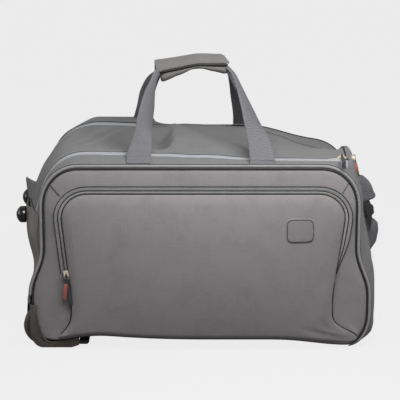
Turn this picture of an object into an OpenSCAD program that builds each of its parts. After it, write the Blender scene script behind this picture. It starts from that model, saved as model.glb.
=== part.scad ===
// Rolling duffel bag with a U-shaped lid zip, two wheels and a pull handle.
// Millimetres. +X to the bag's right end, +Y to its back, +Z up, floor at Z = 0.

/* [Bag body] */
// Distance between the front and the rear seam planes
seam_depth = 284; // [260:1:310]
// Height of the front panel's top seam
seam_top_z = 300; // [285:1:320]
// Half width of the front panel above its waist
upper_half_w = 250; // [240:1:258]
// Half width of the front panel at its hips
lower_half_w = 270; // [260:1:276]
// Height where the side seam starts to swell out
waist_z = 165; // [150:1:180]
// Height where the side seam is widest
hip_z = 92; // [85:1:105]
// Width of the rounded shoulders of the seam
shoulder_w = 56; // [45:1:65]
// Height of the rounded shoulders of the seam
shoulder_h = 62; // [50:1:70]
// Width of the lower right corner of the seam
right_corner_w = 32; // [24:1:40]
// Height of the lower right corner of the seam
right_corner_h = 50; // [40:1:56]
// Width of the lower left corner of the seam
left_corner_w = 20; // [14:1:26]
// Height of the lower left corner of the seam
left_corner_h = 62; // [56:1:68]
// Height of the bottom seam at the wheels
wheel_end_seam_z = 13; // [10:1:16]
// Height of the bottom seam at its crest beside the wheels
crest_z = 24; // [18:1:30]
// Where the crest of the bottom seam lies, left of the middle
crest_x = 160; // [140:1:175]
// Height of the bottom seam at the right end
right_seam_z = 7.5; // [6:0.5:10]
// Half width of the bag across its two swollen ends
end_half_w = 283; // [278:1:290]
// Top of the lid at its left shoulder
lid_left_z = 316; // [305:1:325]
// Top of the lid at its right shoulder
lid_right_z = 303; // [295:1:312]
// Width of the lid's long left shoulder
left_bend_w = 88; // [75:1:100]
// Height of the lid's long left shoulder
left_bend_h = 99; // [90:1:110]
// Width of the right end's top bend
right_bend_w = 55; // [45:1:65]
// Height of the right end's top bend
right_bend_h = 88; // [75:1:95]
// Radius of the bottom edges of the two ends
foot_bend = 20; // [14:1:26]
// Underside of the bag at the wheel end
floor_left_z = 18; // [14:1:22]
// Underside of the bag at the right end
floor_right_z = 7; // [5:0.5:10]
// Thickness of the padded fabric walls
wall = 3; // [2.4:0.2:4]
// Depth of the strips between the seams and the lid zip
strip_w = 42; // [36:1:50]
// Seam allowance turned in behind the panels
seam_lip = 6; // [4:1:9]
// Width of the piped seam outside the panels
seam_w = 4; // [3.5:0.5:6]
// Diameter of the piping cord
piping_d = 6.5; // [5:0.5:7]
// How far the panels crown out from their seams
panel_crown = 12; // [8:1:16]
// How far the flat middle of a panel lies inside its side seams
panel_inset_x = 24; // [18:1:40]
// How far the flat middle of a panel lies inside its top and bottom seams
panel_inset_z = 20; // [14:1:26]

/* [Lid and main zip] */
// How far the lid reaches to the right of the right bend's centre
lid_reach = 8; // [4:1:14]
// Gap between the lid and the strips round it
lid_gap = 0.8; // [0.5:0.1:1.2]
// Width of each half of the main zip chain
chain_w = 4.5; // [3.5:0.5:6]
// Height of the zip chains above the fabric
chain_h = 1.4; // [1:0.1:2]
// Length of a main zip slider
slider_l = 14; // [11:1:18]
// Width of a main zip slider
slider_w = 8; // [6:0.5:10]
// Height of a main zip slider
slider_h = 4; // [3:0.5:6]
// Diameter of the pin that a pull swings on
pull_pin_d = 2; // [1.6:0.1:2.6]
// Width of a zip pull
pull_w = 6; // [5:0.5:8]
// Thickness of a zip pull
pull_t = 2; // [1.6:0.1:3]

/* [Front pocket] */
// Top of the pocket panel
pocket_top_z = 259; // [250:1:265]
// Bottom of the pocket panel
pocket_bottom_z = 18; // [16:1:24]
// Half width of the pocket panel near its top
pocket_upper_half_w = 224; // [210:1:228]
// Half width of the pocket panel at its narrowest
pocket_waist_half_w = 208; // [198:1:214]
// Height of the pocket's narrowest place
pocket_waist_z = 95; // [85:1:110]
// Half width of the pocket panel's flared foot
pocket_foot_half_w = 247; // [230:1:250]
// How far the pocket lies to the right of the middle
pocket_shift = 5; // [0:0.5:6]
// Width and height of the pocket's top corners
pocket_corner = 40; // [30:1:50]
// Thickness of the padded pocket panel
pocket_t = 9; // [6:1:12]
// How far the flat middle of the pocket lies inside its side edges
pocket_inset_x = 34; // [24:1:40]
// How far the flat middle of the pocket lies inside its top and bottom edges
pocket_inset_z = 26; // [18:1:30]
// Height of the pocket's zip slider
pocket_slider_z = 128; // [110:1:180]
// Gap between the pocket panel and its zip chain
pocket_gap = 1; // [0.6:0.1:2]
// Width of the pocket's zip chain with its welt
pocket_chain_w = 9; // [7:0.5:12]
// Width of the plain patch on the pocket
patch_w = 46; // [36:1:52]
// Height of the plain patch on the pocket
patch_h = 40; // [30:1:50]
// Thickness of the plain patch
patch_t = 1; // [0.6:0.1:1.6]
// Distance of the patch from the middle of the bag
patch_x = 158; // [120:1:162]
// Height of the patch's centre
patch_z = 204; // [190:1:215]

/* [Carry handles] */
// Width of the handle webbing
webbing_w = 40; // [34:1:44]
// Thickness of the handle webbing
webbing_t = 2.5; // [2:0.1:3]
// Width of the gathered webbing in the grip
gathered_w = 16; // [12:1:18]
// Distance of the strap anchors from the middle of the bag
anchor_x = 98; // [90:1:106]
// Distance of the strap's fold line from the seam plane
fold_inset = 14; // [12:1:17]
// Height where the two straps would meet above the lid
ridge_z = 448; // [430:1:460]
// Distance of the gathered grips below the ridge, along the strap
grip_drop = 10; // [9:0.5:14]
// Left end of the handle wrap
wrap_left = 75; // [65:1:80]
// Right end of the handle wrap
wrap_right = 50; // [42:1:58]
// How much the left end of the wrap hangs lower than its right end
wrap_drop = 11; // [4:0.5:12]
// Depth of the wrap from front to back
wrap_depth = 51; // [50:1:56]
// Height of the wrap
wrap_h = 36; // [35:1:40]
// Thickness of the wrap
wrap_t = 2.5; // [2:0.1:3.5]

/* [End fittings] */
// Length of the grab handle on the right end
grab_len = 142; // [120:1:150]
// Height of the grab handle's centre
grab_z = 181; // [170:1:186]
// How far the grab handle stands out from the end
grab_out = 17; // [14:0.5:20]
// Length of each sewn end of the grab handle
grab_sewn = 22; // [16:1:26]
// Width of the left end patch
end_patch_w = 150; // [130:1:170]
// Height of the left end patch
end_patch_h = 130; // [110:1:140]
// Thickness of the left end patch
end_patch_t = 1.5; // [1:0.1:2]
// Diameter of the end feet
end_foot_d = 27; // [22:1:30]
// Distance between the end feet
end_foot_pitch = 110; // [90:1:120]
// Width of the tab at the lid's left end
tab_w = 60; // [50:1:70]

/* [Wheels] */
// Outer diameter of the wheels
wheel_d = 65; // [60:1:68]
// Width of the wheels
wheel_w = 24; // [20:1:26]
// Distance of the wheels from the widest part of the seam
wheel_inset = 17; // [14:1:22]
// Diameter of the hub that the tyre sits on
hub_d = 46; // [40:1:50]
// Diameter of the axles
axle_d = 6; // [5:0.5:7]
// Outer diameter of the wheel bearings
bearing_d = 19; // [17:1:22]
// Width of the wheel bearings
bearing_w = 6; // [5:0.5:7]
// Running clearance on a radius
run_gap = 0.05; // [0.03:0.01:0.08]
// Gap between the wheel and its arch
arch_gap = 4; // [3:0.5:5]
// Wall of the moulded wheel housing
housing_t = 4; // [3:0.5:5]
// Depth of the wheel housing from the seam plane
housing_depth = 44; // [42:1:50]
// How far the housing reaches to the right of the wheel
housing_reach = 46; // [44:1:50]
// Thickness of the corner guard in front of the seam plane
guard_t = 9; // [7:0.5:11]
// How far the corner guard laps over the edge of the panel
guard_lap = 9; // [7:0.5:12]
// Length of the corner guard's foot to the right of the wheel
guard_foot = 58; // [54:1:62]

/* [Pull handle] */
// Distance between the two telescopic tubes
tube_pitch = 104; // [90:2:120]
// Height of the telescopic tubes
tube_z = 42; // [40:1:46]
// Outer diameter of the fixed tubes
outer_tube_d = 22; // [20:0.5:24]
// Outer diameter of the middle tubes
mid_tube_d = 17.5; // [16:0.5:18]
// Outer diameter of the inner tubes
inner_tube_d = 13; // [12:0.5:13.5]
// Wall of all the tubes
tube_wall = 1.1; // [0.9:0.1:1.3]
// Left end of the fixed tubes, from the middle of the bag
tube_tail = 190; // [180:1:194]
// Length of the guide collars in the tubes
collar_l = 18; // [14:1:24]
// Outer width of the end bezel
bezel_w = 166; // [156:2:180]
// Outer height of the end bezel
bezel_h = 52; // [48:1:54]
// Depth of the bezel's tray
bezel_depth = 42; // [40:1:46]
// Wall of the bezel
bezel_t = 2.5; // [2:0.1:3]
// How far the bezel's flange overlaps the fabric
bezel_flange = 6; // [5:0.5:8]
// Length of the grip across the bag
grip_w = 134; // [124:2:140]
// Height of the grip
grip_h = 22; // [20:1:26]
// Depth of the grip along the tubes
grip_depth = 26; // [24:1:30]
// Wall of the grip shells
grip_t = 2.4; // [2:0.1:3]
// Length of the release button
button_w = 36; // [28:1:44]
// Height of the release button
button_h = 9; // [7:0.5:11]
// Travel of the release button
button_travel = 4; // [3:0.5:5]
// Diameter of the push rods
rod_d = 3; // [2.5:0.5:4]
// Thickness of the base board
board_t = 3; // [2:0.5:5]

/* [Hidden] */
$fn = 48;
ARC = 8;
SIDE = 7;
BOTTOM = 16;
TOP = 10;
STRIP_STEPS = 3;
PIPE_SIDES = 8;
touch = 0.3;
far = 700;

half_d = seam_depth / 2;
eye_wall = 0.8;
eye_d = pull_pin_d + 2 * (run_gap + eye_wall);
pin_h = slider_h + eye_d / 2 + 2 * touch;
pocket_stack = max(pocket_t + patch_t, chain_h + touch + pin_h + eye_d / 2);
mid_y = pocket_stack / 2;
wheel_x = lower_half_w - wheel_inset;
wheel_z = wheel_d / 2;
tray_w = bezel_w - 2 * bezel_flange;
tray_h = bezel_h - 2 * bezel_flange;
left_bend_x = end_half_w - left_bend_w;
right_bend_x = end_half_w - right_bend_w;
hinge_z = lid_left_z - left_bend_h;
lid_right_x = right_bend_x + lid_reach;
lid_half_y = half_d - strip_w;

// Colours as the photo shows them
front_grey = "#6f6d6e";
lid_grey = "#7d807c";
webbing_grey = "#7c7c82";
dark_grey = "#45413e";
near_black = "#1d1b1c";
steel = "#b9bcc0";
pale_gold = "#cfc3a4";
welt_grey = "#9a9a98";
piping_grey = "#8c8c8c";

// Curves and rings
function clamp01(t) = min(1, max(0, t));
function ease(a, b, t) = let (u = clamp01(t)) a + (b - a) * u * u * (3 - 2 * u);
function arc(cx, cz, rx, rz, a0, a1) =
    [for (i = [0:ARC]) let (a = a0 + (a1 - a0) * i / ARC) [cx + rx * cos(a), cz + rz * sin(a)]];
function mix_ring(a, b, t) = [for (i = [0:len(a) - 1]) a[i] * (1 - t) + b[i] * t];
function at_y(ring, y) = [for (p = ring) [p[0], y, p[1]]];
function squeeze(ring, dx, dz, cz) =
    [for (p = ring) [p[0] * (1 - dx / lower_half_w), cz + (p[1] - cz) * (1 - dz / (seam_top_z / 2))]];
function part_of(list, a, b) = [for (i = [a:b]) list[i]];
function back(list) = [for (i = [len(list) - 1:-1:0]) list[i]];

// The piped seam of the front and rear panels, grown outwards by d
function seam_side(z) = ease(lower_half_w, upper_half_w, (z - hip_z) / (waist_z - hip_z));
bottom_x0 = left_corner_w - lower_half_w;
bottom_x1 = lower_half_w - right_corner_w;
corner_z = right_seam_z + right_corner_h;
shoulder_z = seam_top_z - shoulder_h;
function seam_bottom(x) =
    x < -crest_x
        ? ease(wheel_end_seam_z, crest_z, (x - bottom_x0) / (-crest_x - bottom_x0))
        : crest_z + (right_seam_z - crest_z) * (x + crest_x) / (bottom_x1 + crest_x);
function seam_outline(d) = concat(
    [for (i = [0:BOTTOM - 1])
        let (x = bottom_x0 + (bottom_x1 - bottom_x0) * i / BOTTOM)
        [x, seam_bottom(x) - d]],
    arc(bottom_x1, corner_z, right_corner_w + d, right_corner_h + d, 270, 360),
    [for (i = [1:SIDE])
        let (z = corner_z + (shoulder_z - corner_z) * i / (SIDE + 1))
        [seam_side(z) + d, z]],
    arc(upper_half_w - shoulder_w, shoulder_z, shoulder_w + d, shoulder_h + d, 0, 90),
    [for (i = [1:TOP - 1]) [(upper_half_w - shoulder_w) * (1 - 2 * i / TOP), seam_top_z + d]],
    arc(shoulder_w - upper_half_w, shoulder_z, shoulder_w + d, shoulder_h + d, 90, 180),
    [for (i = [1:SIDE])
        let (z = shoulder_z + (wheel_end_seam_z + left_corner_h - shoulder_z) * i / (SIDE + 1))
        [-seam_side(z) - d, z]],
    part_of(arc(bottom_x0, wheel_end_seam_z + left_corner_h,
        left_corner_w + d, left_corner_h + d, 180, 270), 0, ARC - 1));
PIPE_START = 2;
PIPE_END = BOTTOM + 3 * (ARC + 1) + 2 * SIDE + TOP - 1;

// The outline of the bag across its swollen ends, with the same number of points
function floor_z(x) = floor_left_z + (floor_right_z - floor_left_z) * (x + end_half_w) / (2 * end_half_w);
foot_x = end_half_w - foot_bend;
function end_outline(d) = concat(
    [for (i = [0:BOTTOM - 1]) let (x = foot_x * (2 * i / BOTTOM - 1)) [x, floor_z(x) - d]],
    arc(foot_x, floor_z(foot_x) + foot_bend, foot_bend + d, foot_bend + d, 270, 360),
    [for (i = [1:SIDE])
        let (z0 = floor_z(foot_x) + foot_bend, z = z0 + (lid_right_z - right_bend_h - z0) * i / (SIDE + 1))
        [end_half_w + d, z]],
    arc(right_bend_x, lid_right_z - right_bend_h, right_bend_w + d, right_bend_h + d, 0, 90),
    [for (i = [1:TOP - 1])
        let (x = right_bend_x - (right_bend_x + left_bend_x) * i / TOP)
        [x, lid_z(x) + d]],
    arc(-left_bend_x, hinge_z, left_bend_w + d, left_bend_h + d, 90, 180),
    [for (i = [1:SIDE])
        let (z0 = floor_z(-foot_x) + foot_bend, z = hinge_z + (z0 - hinge_z) * i / (SIDE + 1))
        [-end_half_w - d, z]],
    part_of(arc(-foot_x, floor_z(-foot_x) + foot_bend, foot_bend + d, foot_bend + d, 180, 270), 0, ARC - 1));

// How far a strip has swollen from the seam to the ends, at a share of its depth
function swell(t) = 1 - (1 - t) * (1 - t);
lid_fall = (lid_left_z - lid_right_z) / (left_bend_x + right_bend_x);
function lid_z(x) = lid_left_z - lid_fall * (x + left_bend_x);
function strip_z(x, inset) =
    let (i = floor(inset / strip_w * STRIP_STEPS), f = inset / strip_w * STRIP_STEPS - i)
    let (t = swell(i / STRIP_STEPS) * (1 - f) + swell((i + 1) / STRIP_STEPS) * f)
    (seam_top_z + seam_w) * (1 - t) + lid_z(x) * t;

// Skin through rings of equal length, as a closed loop of rings or with two end caps
module ring_stack(rings, looped) {
    n = len(rings[0]);
    m = len(rings);
    last = looped ? m - 1 : m - 2;
    sides = [for (r = [0:last], i = [0:n - 1])
        let (here = r * n, there = (r + 1) % m * n, j = (i + 1) % n)
        each [[here + i, here + j, there + j], [here + i, there + j, there + i]]];
    caps = looped ? [] : [[for (i = [n - 1:-1:0]) i], [for (i = [0:n - 1]) (m - 1) * n + i]];
    polyhedron([for (ring = rings) each ring], concat(sides, caps), convexity = 8);
}

// A round cord along points [x, z] at one depth y
module cord(path, y, d) {
    n = len(path);
    rings = [for (i = [0:n - 1])
        let (t = path[min(i + 1, n - 1)] - path[max(i - 1, 0)], u = t / norm(t))
        [for (k = [0:PIPE_SIDES - 1])
            let (a = 360 * k / PIPE_SIDES)
            [path[i][0] + d / 2 * cos(a) * u[1], y + d / 2 * sin(a), path[i][1] - d / 2 * cos(a) * u[0]]]];
    ring_stack(rings, false);
}

// A profile drawn in X and Z, extruded along Y from y0
module slab(y0, h) { translate([0, y0 + h, 0]) rotate([90, 0, 0]) linear_extrude(h) children(); }

// A profile drawn in Y and Z, extruded along X from x0
module bar(x0, w) { translate([x0, 0, 0]) rotate([90, 0, 90]) linear_extrude(w) children(); }

// A rounded rectangle centred on the origin
module rounded(w, h, r) {
    square([w - 2 * r, h], center = true);
    square([w, h - 2 * r], center = true);
    for (x = [-1, 1], y = [-1, 1]) translate([x * (w / 2 - r), y * (h / 2 - r)]) circle(r);
}

// Front pieces are drawn in front of the middle plane; the rear ones are their mirror image
module front_side() { translate([0, mid_y, 0]) children(); }
module rear_side() { translate([0, mid_y, 0]) mirror([0, 1, 0]) children(); }
module both_sides() {
    front_side() children();
    rear_side() children();
}

// Body
function strip_ring(i, out, in, y_sign) =
    let (t = i / STRIP_STEPS)
    at_y(mix_ring(seam_outline(out), end_outline(in), swell(t)), y_sign * (half_d - strip_w * t));
lip_out = seam_outline(-seam_lip);
outer_rings = concat(
    [for (i = [0:STRIP_STEPS]) strip_ring(i, seam_w, 0, -1)],
    [for (i = [STRIP_STEPS:-1:0]) strip_ring(i, seam_w, 0, 1)]);
inner_rings = concat(
    [at_y(lip_out, half_d), at_y(lip_out, half_d - wall)],
    [at_y(seam_outline(seam_w - wall), half_d - wall - touch)],
    [for (i = [1:STRIP_STEPS]) strip_ring(i, seam_w - wall, -wall, 1)],
    [for (i = [STRIP_STEPS:-1:1]) strip_ring(i, seam_w - wall, -wall, -1)],
    [at_y(seam_outline(seam_w - wall), wall + touch - half_d)],
    [at_y(lip_out, wall - half_d), at_y(lip_out, -half_d)]);

tyre_show = 12.5;
housing_drop = 1;
housing_low = 9;
housing_left = wheel_x + wheel_d / 2 - tyre_show;
housing_right = wheel_x - housing_reach;
housing_top = wheel_end_seam_z + left_corner_h - housing_drop;

module gusset_shell() {
    color(lid_grey)
    translate([0, mid_y, 0])
    difference() {
        ring_stack(concat(outer_rings, inner_rings), true);
        translate([-far, -lid_half_y, hinge_z]) cube([far + lid_right_x, 2 * lid_half_y, far]);
        for (s = [0, 1]) mirror([0, s, 0])
            translate([touch - housing_right, housing_depth + touch - half_d, housing_top + touch])
            translate([-far, -far, -far]) cube(far);
        translate([end_half_w - far / 2, 0, tube_z])
            cube([far, tray_w + 2 * touch, tray_h + 2 * touch], center = true);
    }
}

// Where the wheel's corner guard laps over the panel, grown outwards by d
lap_x = bottom_x0 + guard_lap;
lap_z = wheel_end_seam_z + left_corner_h;
function lap_arc(d) = arc(lap_x, lap_z, left_corner_w + d, lap_z - seam_bottom(lap_x) + d, 180, 270);

// Crowned panel: each row gives a ring's share of the inset to the flat middle and of the crown
panel_rings = [[1, 1], [0.5, 0.9], [0.2, 0.6], [0, 0.25], [0, 0]];
module panel_pillow() {
    edge = concat(part_of(seam_outline(-touch), 1, PIPE_END), lap_arc(-touch));
    ring_stack([for (r = panel_rings)
        let (ring = squeeze(edge, panel_inset_x * r[0], panel_inset_z * r[0], seam_top_z / 2))
        at_y(ring, -half_d - panel_crown * r[1])], false);
}
module front_panel() { color(front_grey) front_side() panel_pillow(); }
module rear_panel() { color(front_grey) rear_side() panel_pillow(); }

module piping() {
    path = part_of(seam_outline(piping_d / 2), PIPE_START, PIPE_END);
    cord(path, -half_d - piping_d / 2 - touch, piping_d);
}
module front_piping() { color(piping_grey) front_side() piping(); }
module rear_piping() { color(piping_grey) rear_side() piping(); }

board_z = tube_z + outer_tube_d / 2 + touch;
board_gap = 2;
board_corner = 20;
module base_board() {
    color(near_black)
    translate([0, mid_y, board_z + board_t / 2])
    linear_extrude(board_t, center = true)
        rounded(2 * (housing_right - board_gap), 2 * lid_half_y, board_corner);
}

// Lid and main zip
right_bend_z = lid_right_z - right_bend_h;
function right_arc(d, a0) = arc(right_bend_x, right_bend_z, right_bend_w + d, right_bend_h + d, a0, 90);
function left_arc(d, a1) = arc(-left_bend_x, hinge_z, left_bend_w + d, left_bend_h + d, 90, a1);
lid_edge_angle = acos((lid_reach - lid_gap) / right_bend_w);
lid_foot_angle = 180 - asin(lid_gap / left_bend_h);
function lid_arc(d, a0) = concat(right_arc(d, a0), left_arc(d, lid_foot_angle));

module lid_panel() {
    color(lid_grey)
    translate([0, mid_y, 0])
    slab(lid_gap - lid_half_y, 2 * (lid_half_y - lid_gap))
        polygon(concat(lid_arc(0, lid_edge_angle), back(lid_arc(-wall, lid_edge_angle))));
}

// A chain half is a raised band along the edge of the lid or of the strip beside it
function lid_end_band(d) =
    [for (p = right_arc(d, lid_edge_angle)) if (p[0] > lid_right_x - lid_gap - chain_w) p];
module lid_zip_chain() {
    color(near_black)
    translate([0, mid_y, 0]) {
        for (y = [lid_gap - lid_half_y, lid_half_y - lid_gap - chain_w])
            slab(y, chain_w)
            polygon(concat(lid_arc(chain_h, lid_edge_angle), back(lid_arc(0, lid_edge_angle))));
        slab(lid_gap - lid_half_y + chain_w, 2 * (lid_half_y - lid_gap - chain_w))
            polygon(concat(lid_end_band(chain_h), back(lid_end_band(0))));
    }
}

body_edge_angle = acos(lid_reach / right_bend_w);
body_band_angle = acos((lid_reach + chain_w) / right_bend_w);
function body_band(d) =
    [for (i = [0:2])
        let (a = body_band_angle + (body_edge_angle - body_band_angle) * i / 2)
        [right_bend_x + (right_bend_w + d) * cos(a), right_bend_z + (right_bend_h + d) * sin(a)]];
module main_zip_chain() {
    color(welt_grey)
    translate([0, mid_y, 0])
    slab(-lid_half_y, 2 * lid_half_y) polygon(concat(body_band(chain_h), back(body_band(touch / 2))));
}

tab_rise = 12;
tab_h = 34;
tab_low = hinge_z + tab_rise;
tab_high = tab_low + tab_h;
module lid_tab() {
    root = [for (p = left_arc(touch, lid_foot_angle)) if (p[1] > tab_low && p[1] < tab_high) p];
    tip = [for (p = left_arc(wall, lid_foot_angle)) if (p[1] > tab_low && p[1] < tab_high) p];
    color(lid_grey)
    translate([0, mid_y, 0])
    slab(-tab_w / 2, tab_w) polygon(concat(back(root), [[-end_half_w - wall, tab_high]], tip));
}

// Front pocket
pocket_face = half_d + panel_crown;
pocket_shoulder_z = pocket_top_z - pocket_corner;
pocket_foot_h = pocket_waist_z - pocket_bottom_z;
pocket_widening = (pocket_upper_half_w - pocket_waist_half_w) / (pocket_shoulder_z - pocket_waist_z);
function pocket_side(z) =
    z < pocket_waist_z
        ? ease(pocket_foot_half_w, pocket_waist_half_w, (z - pocket_bottom_z) / pocket_foot_h)
        : pocket_waist_half_w + pocket_widening * (z - pocket_waist_z);
function pocket_flare(d) =
    [for (i = [0:SIDE])
        let (z = pocket_bottom_z + pocket_foot_h * i / SIDE)
        [pocket_side(z) + d, z - (i == 0 ? d : 0)]];
function flip(list) = [for (p = list) [-p[0], p[1]]];
function pocket_half(d) = concat(
    pocket_flare(d),
    arc(pocket_upper_half_w - pocket_corner, pocket_shoulder_z, pocket_corner + d, pocket_corner + d, 0, 90));
function pocket_outline(d) = concat(pocket_half(d), back(flip(pocket_half(d))));

pocket_rings = [[1, 1], [0.27, 0.8], [0, 0.3], [0, 0]];
module at_pocket() { front_side() translate([pocket_shift, 0, 0]) children(); }
module pocket_panel() {
    edge = pocket_outline(0);
    mid_z = (pocket_top_z + pocket_bottom_z) / 2;
    color(front_grey)
    at_pocket()
    ring_stack([for (r = pocket_rings)
        let (ring = squeeze(edge, pocket_inset_x * r[0], pocket_inset_z * r[0], mid_z))
        at_y(ring, -pocket_face - pocket_t * r[1])], false);
}

module pocket_zip_chain() {
    inner = part_of(pocket_outline(pocket_gap), SIDE, SIDE + 2 * ARC + 3);
    outer = part_of(pocket_outline(pocket_gap + pocket_chain_w), SIDE, SIDE + 2 * ARC + 3);
    color(welt_grey)
    at_pocket() slab(-pocket_face - chain_h, chain_h) polygon(concat(outer, back(inner)));
}

patch_corner = 8;
module blank_patch() {
    color(dark_grey)
    front_side()
    translate([patch_x, 0, patch_z])
    slab(-pocket_face - pocket_t - patch_t, patch_t) rounded(patch_w, patch_h, patch_corner);
}

// Zip sliders: a bridged body with a pull that swings on a pin between two cheeks
slider_corner = 2;
slider_waist = 3;
cheek_t = 1.4;
cheek_l = 4;
cheek_top = 1;
module slider_block(pin_turn) {
    cheek_h = pin_h + cheek_top - slider_h;
    translate([0, 0, slider_h / 2]) linear_extrude(slider_h / 2) rounded(slider_l, slider_w, slider_corner);
    linear_extrude(slider_h / 2) rounded(slider_l - slider_waist, slider_w - slider_waist / 2, slider_corner);
    rotate(pin_turn) {
        for (x = [-1, 1]) translate([x * pull_w / 2, 0, slider_h + cheek_h / 2])
            cube([cheek_t, cheek_l, cheek_h], center = true);
        translate([0, 0, pin_h])
            rotate([0, 90, 0]) cylinder(d = pull_pin_d, h = pull_w + cheek_t / 2, center = true);
    }
}

// The pull turns on an eye round the pin and reaches len along +Y, with a tag that hangs drop lower
tag_share = 0.6;
tag_corner = 2;
module pull_link(len, drop) {
    neck = pull_w - cheek_t - 3 * touch;
    tag = len * tag_share;
    difference() {
        union() {
            rotate([0, 90, 0]) cylinder(d = eye_d, h = neck, center = true);
            translate([0, len / 4, 0]) cube([neck, len / 2, pull_t], center = true);
            translate([0, len - tag / 2, 0])
                linear_extrude(pull_t, center = true) rounded(pull_w, tag, tag_corner);
            if (drop > 0)
                translate([0, len - pull_t / 2, -drop / 2]) cube([pull_w, pull_t, drop], center = true);
        }
        rotate([0, 90, 0]) cylinder(d = pull_pin_d + 2 * run_gap, h = far, center = true);
    }
}

// Carry handles
leg_high_x = -anchor_x - webbing_w / 2;
pad_t = 2.2;
fold_z = strip_z(leg_high_x, fold_inset) + touch + pad_t + touch + webbing_t / 2;
fold_y = fold_inset - half_d;
lean = atan((half_d - fold_inset) / (ridge_z - fold_z));
strap_len = norm([half_d - fold_inset, ridge_z - fold_z]);
grip_v = strap_len - grip_drop;

pad_inset = 2;
pad_ends = [pad_inset, strip_w / STRIP_STEPS, 2 * strip_w / STRIP_STEPS - pad_inset];
function pad_line(x, rise) = [for (d = pad_ends) [d - half_d, strip_z(x, d) + touch + rise]];
module strap_anchors() {
    color(webbing_grey)
    both_sides()
    for (x = [-anchor_x, anchor_x])
        bar(x - webbing_w / 2, webbing_w)
        polygon(concat(pad_line(x - webbing_w / 2, 0), back(pad_line(x - webbing_w / 2, pad_t))));
}

// Strap as a flat sewn piece: two legs that lean in and taper to the gathered grip
function bend(p0, p1, p2) =
    [for (i = [0:ARC]) let (t = i / ARC) p0 * (1 - t) * (1 - t) + p1 * 2 * t * (1 - t) + p2 * t * t];
wrap_end_gap = 4;
strap_left = wrap_left + wrap_end_gap;
strap_right = wrap_right + wrap_end_gap;
leg_out = anchor_x + webbing_w / 2;
leg_in = anchor_x - webbing_w / 2;
leg_bow = 4;
leg_lean = 14;
module strap_profile() {
    half_v = strap_len / 2;
    left_v = grip_v - wrap_drop / 2;
    right_v = grip_v + wrap_drop / 2;
    polygon(concat(
        bend([-leg_out, 0], [-anchor_x - webbing_w / 4, half_v],
            [-strap_left - gathered_w, left_v - gathered_w / 2]),
        [[-strap_left, left_v], [strap_right, right_v]],
        bend([strap_right + gathered_w, right_v - gathered_w / 2], [anchor_x - leg_bow, half_v],
            [leg_out, 0]),
        bend([leg_in, 0], [leg_in - leg_lean, half_v], [strap_right, right_v - gathered_w]),
        bend([-strap_left, left_v - gathered_w], [leg_bow - leg_in, half_v], [-leg_in, 0])));
}
module strap() {
    translate([0, fold_y, fold_z])
    rotate([90 - lean, 0, 0])
    linear_extrude(webbing_t, center = true) strap_profile();
}
module front_strap() { color(webbing_grey) front_side() strap(); }
module rear_strap() { color(webbing_grey) rear_side() strap(); }

// Soft wrap on the front strap, open at the back so that the rear strap can leave it
wrap_over = 10;
wrap_low = ridge_z - wrap_h + wrap_over;
wrap_corner = 6;
back_lip = 8;
module handle_wrap() {
    wrap_len = wrap_left + wrap_right;
    color(webbing_grey)
    translate([(wrap_right - wrap_left) / 2, mid_y, wrap_low + wrap_h / 2])
    rotate([0, -asin(wrap_drop / wrap_len), 0])
    bar(-wrap_len / 2, wrap_len)
    difference() {
        rounded(wrap_depth, wrap_h, wrap_corner);
        rounded(wrap_depth - 2 * wrap_t, wrap_h - 2 * wrap_t, wrap_corner - wrap_t);
        translate([wrap_depth / 4, -wrap_h / 2 - touch]) square([wrap_depth, wrap_h - back_lip]);
    }
}

// End fittings
grab_bow = 1.05;
grab_step = 6;
module grab_handle() {
    top = grab_len / 2;
    x0 = end_half_w + touch;
    lift = bend([0, top - grab_sewn], [grab_out * grab_bow - webbing_t, top - grab_sewn - grab_step],
        [grab_out - webbing_t, 0]);
    inner = concat([[0, top]], lift, [for (p = back(lift)) [p[0], -p[1]]], [[0, -top]]);
    outer = [for (p = inner) [p[0] + webbing_t, p[1]]];
    color(webbing_grey)
    translate([x0, mid_y, grab_z])
    slab(-webbing_w / 2, webbing_w) polygon(concat(inner, back(outer)));
}

end_patch_drop = 4;
end_patch_top = hinge_z - end_patch_drop;
end_patch_corner = 14;
module left_end_patch() {
    color(dark_grey)
    translate([-end_half_w - end_patch_t, mid_y, end_patch_top - end_patch_h / 2])
    bar(0, end_patch_t) rounded(end_patch_w, end_patch_h, end_patch_corner);
}

end_foot_h = grab_out + touch - end_patch_t;
end_foot_r = end_foot_d * 0.6;
module end_feet() {
    color(near_black)
    for (y = [-1, 1])
        translate([-end_half_w - end_patch_t, mid_y + y * end_foot_pitch / 2, end_patch_top - end_foot_d / 2])
        rotate([0, -90, 0])
        rotate_extrude()
        intersection() {
            translate([0, end_foot_h - end_foot_r]) circle(end_foot_r);
            square([end_foot_d / 2, end_foot_h]);
        }
}

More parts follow.
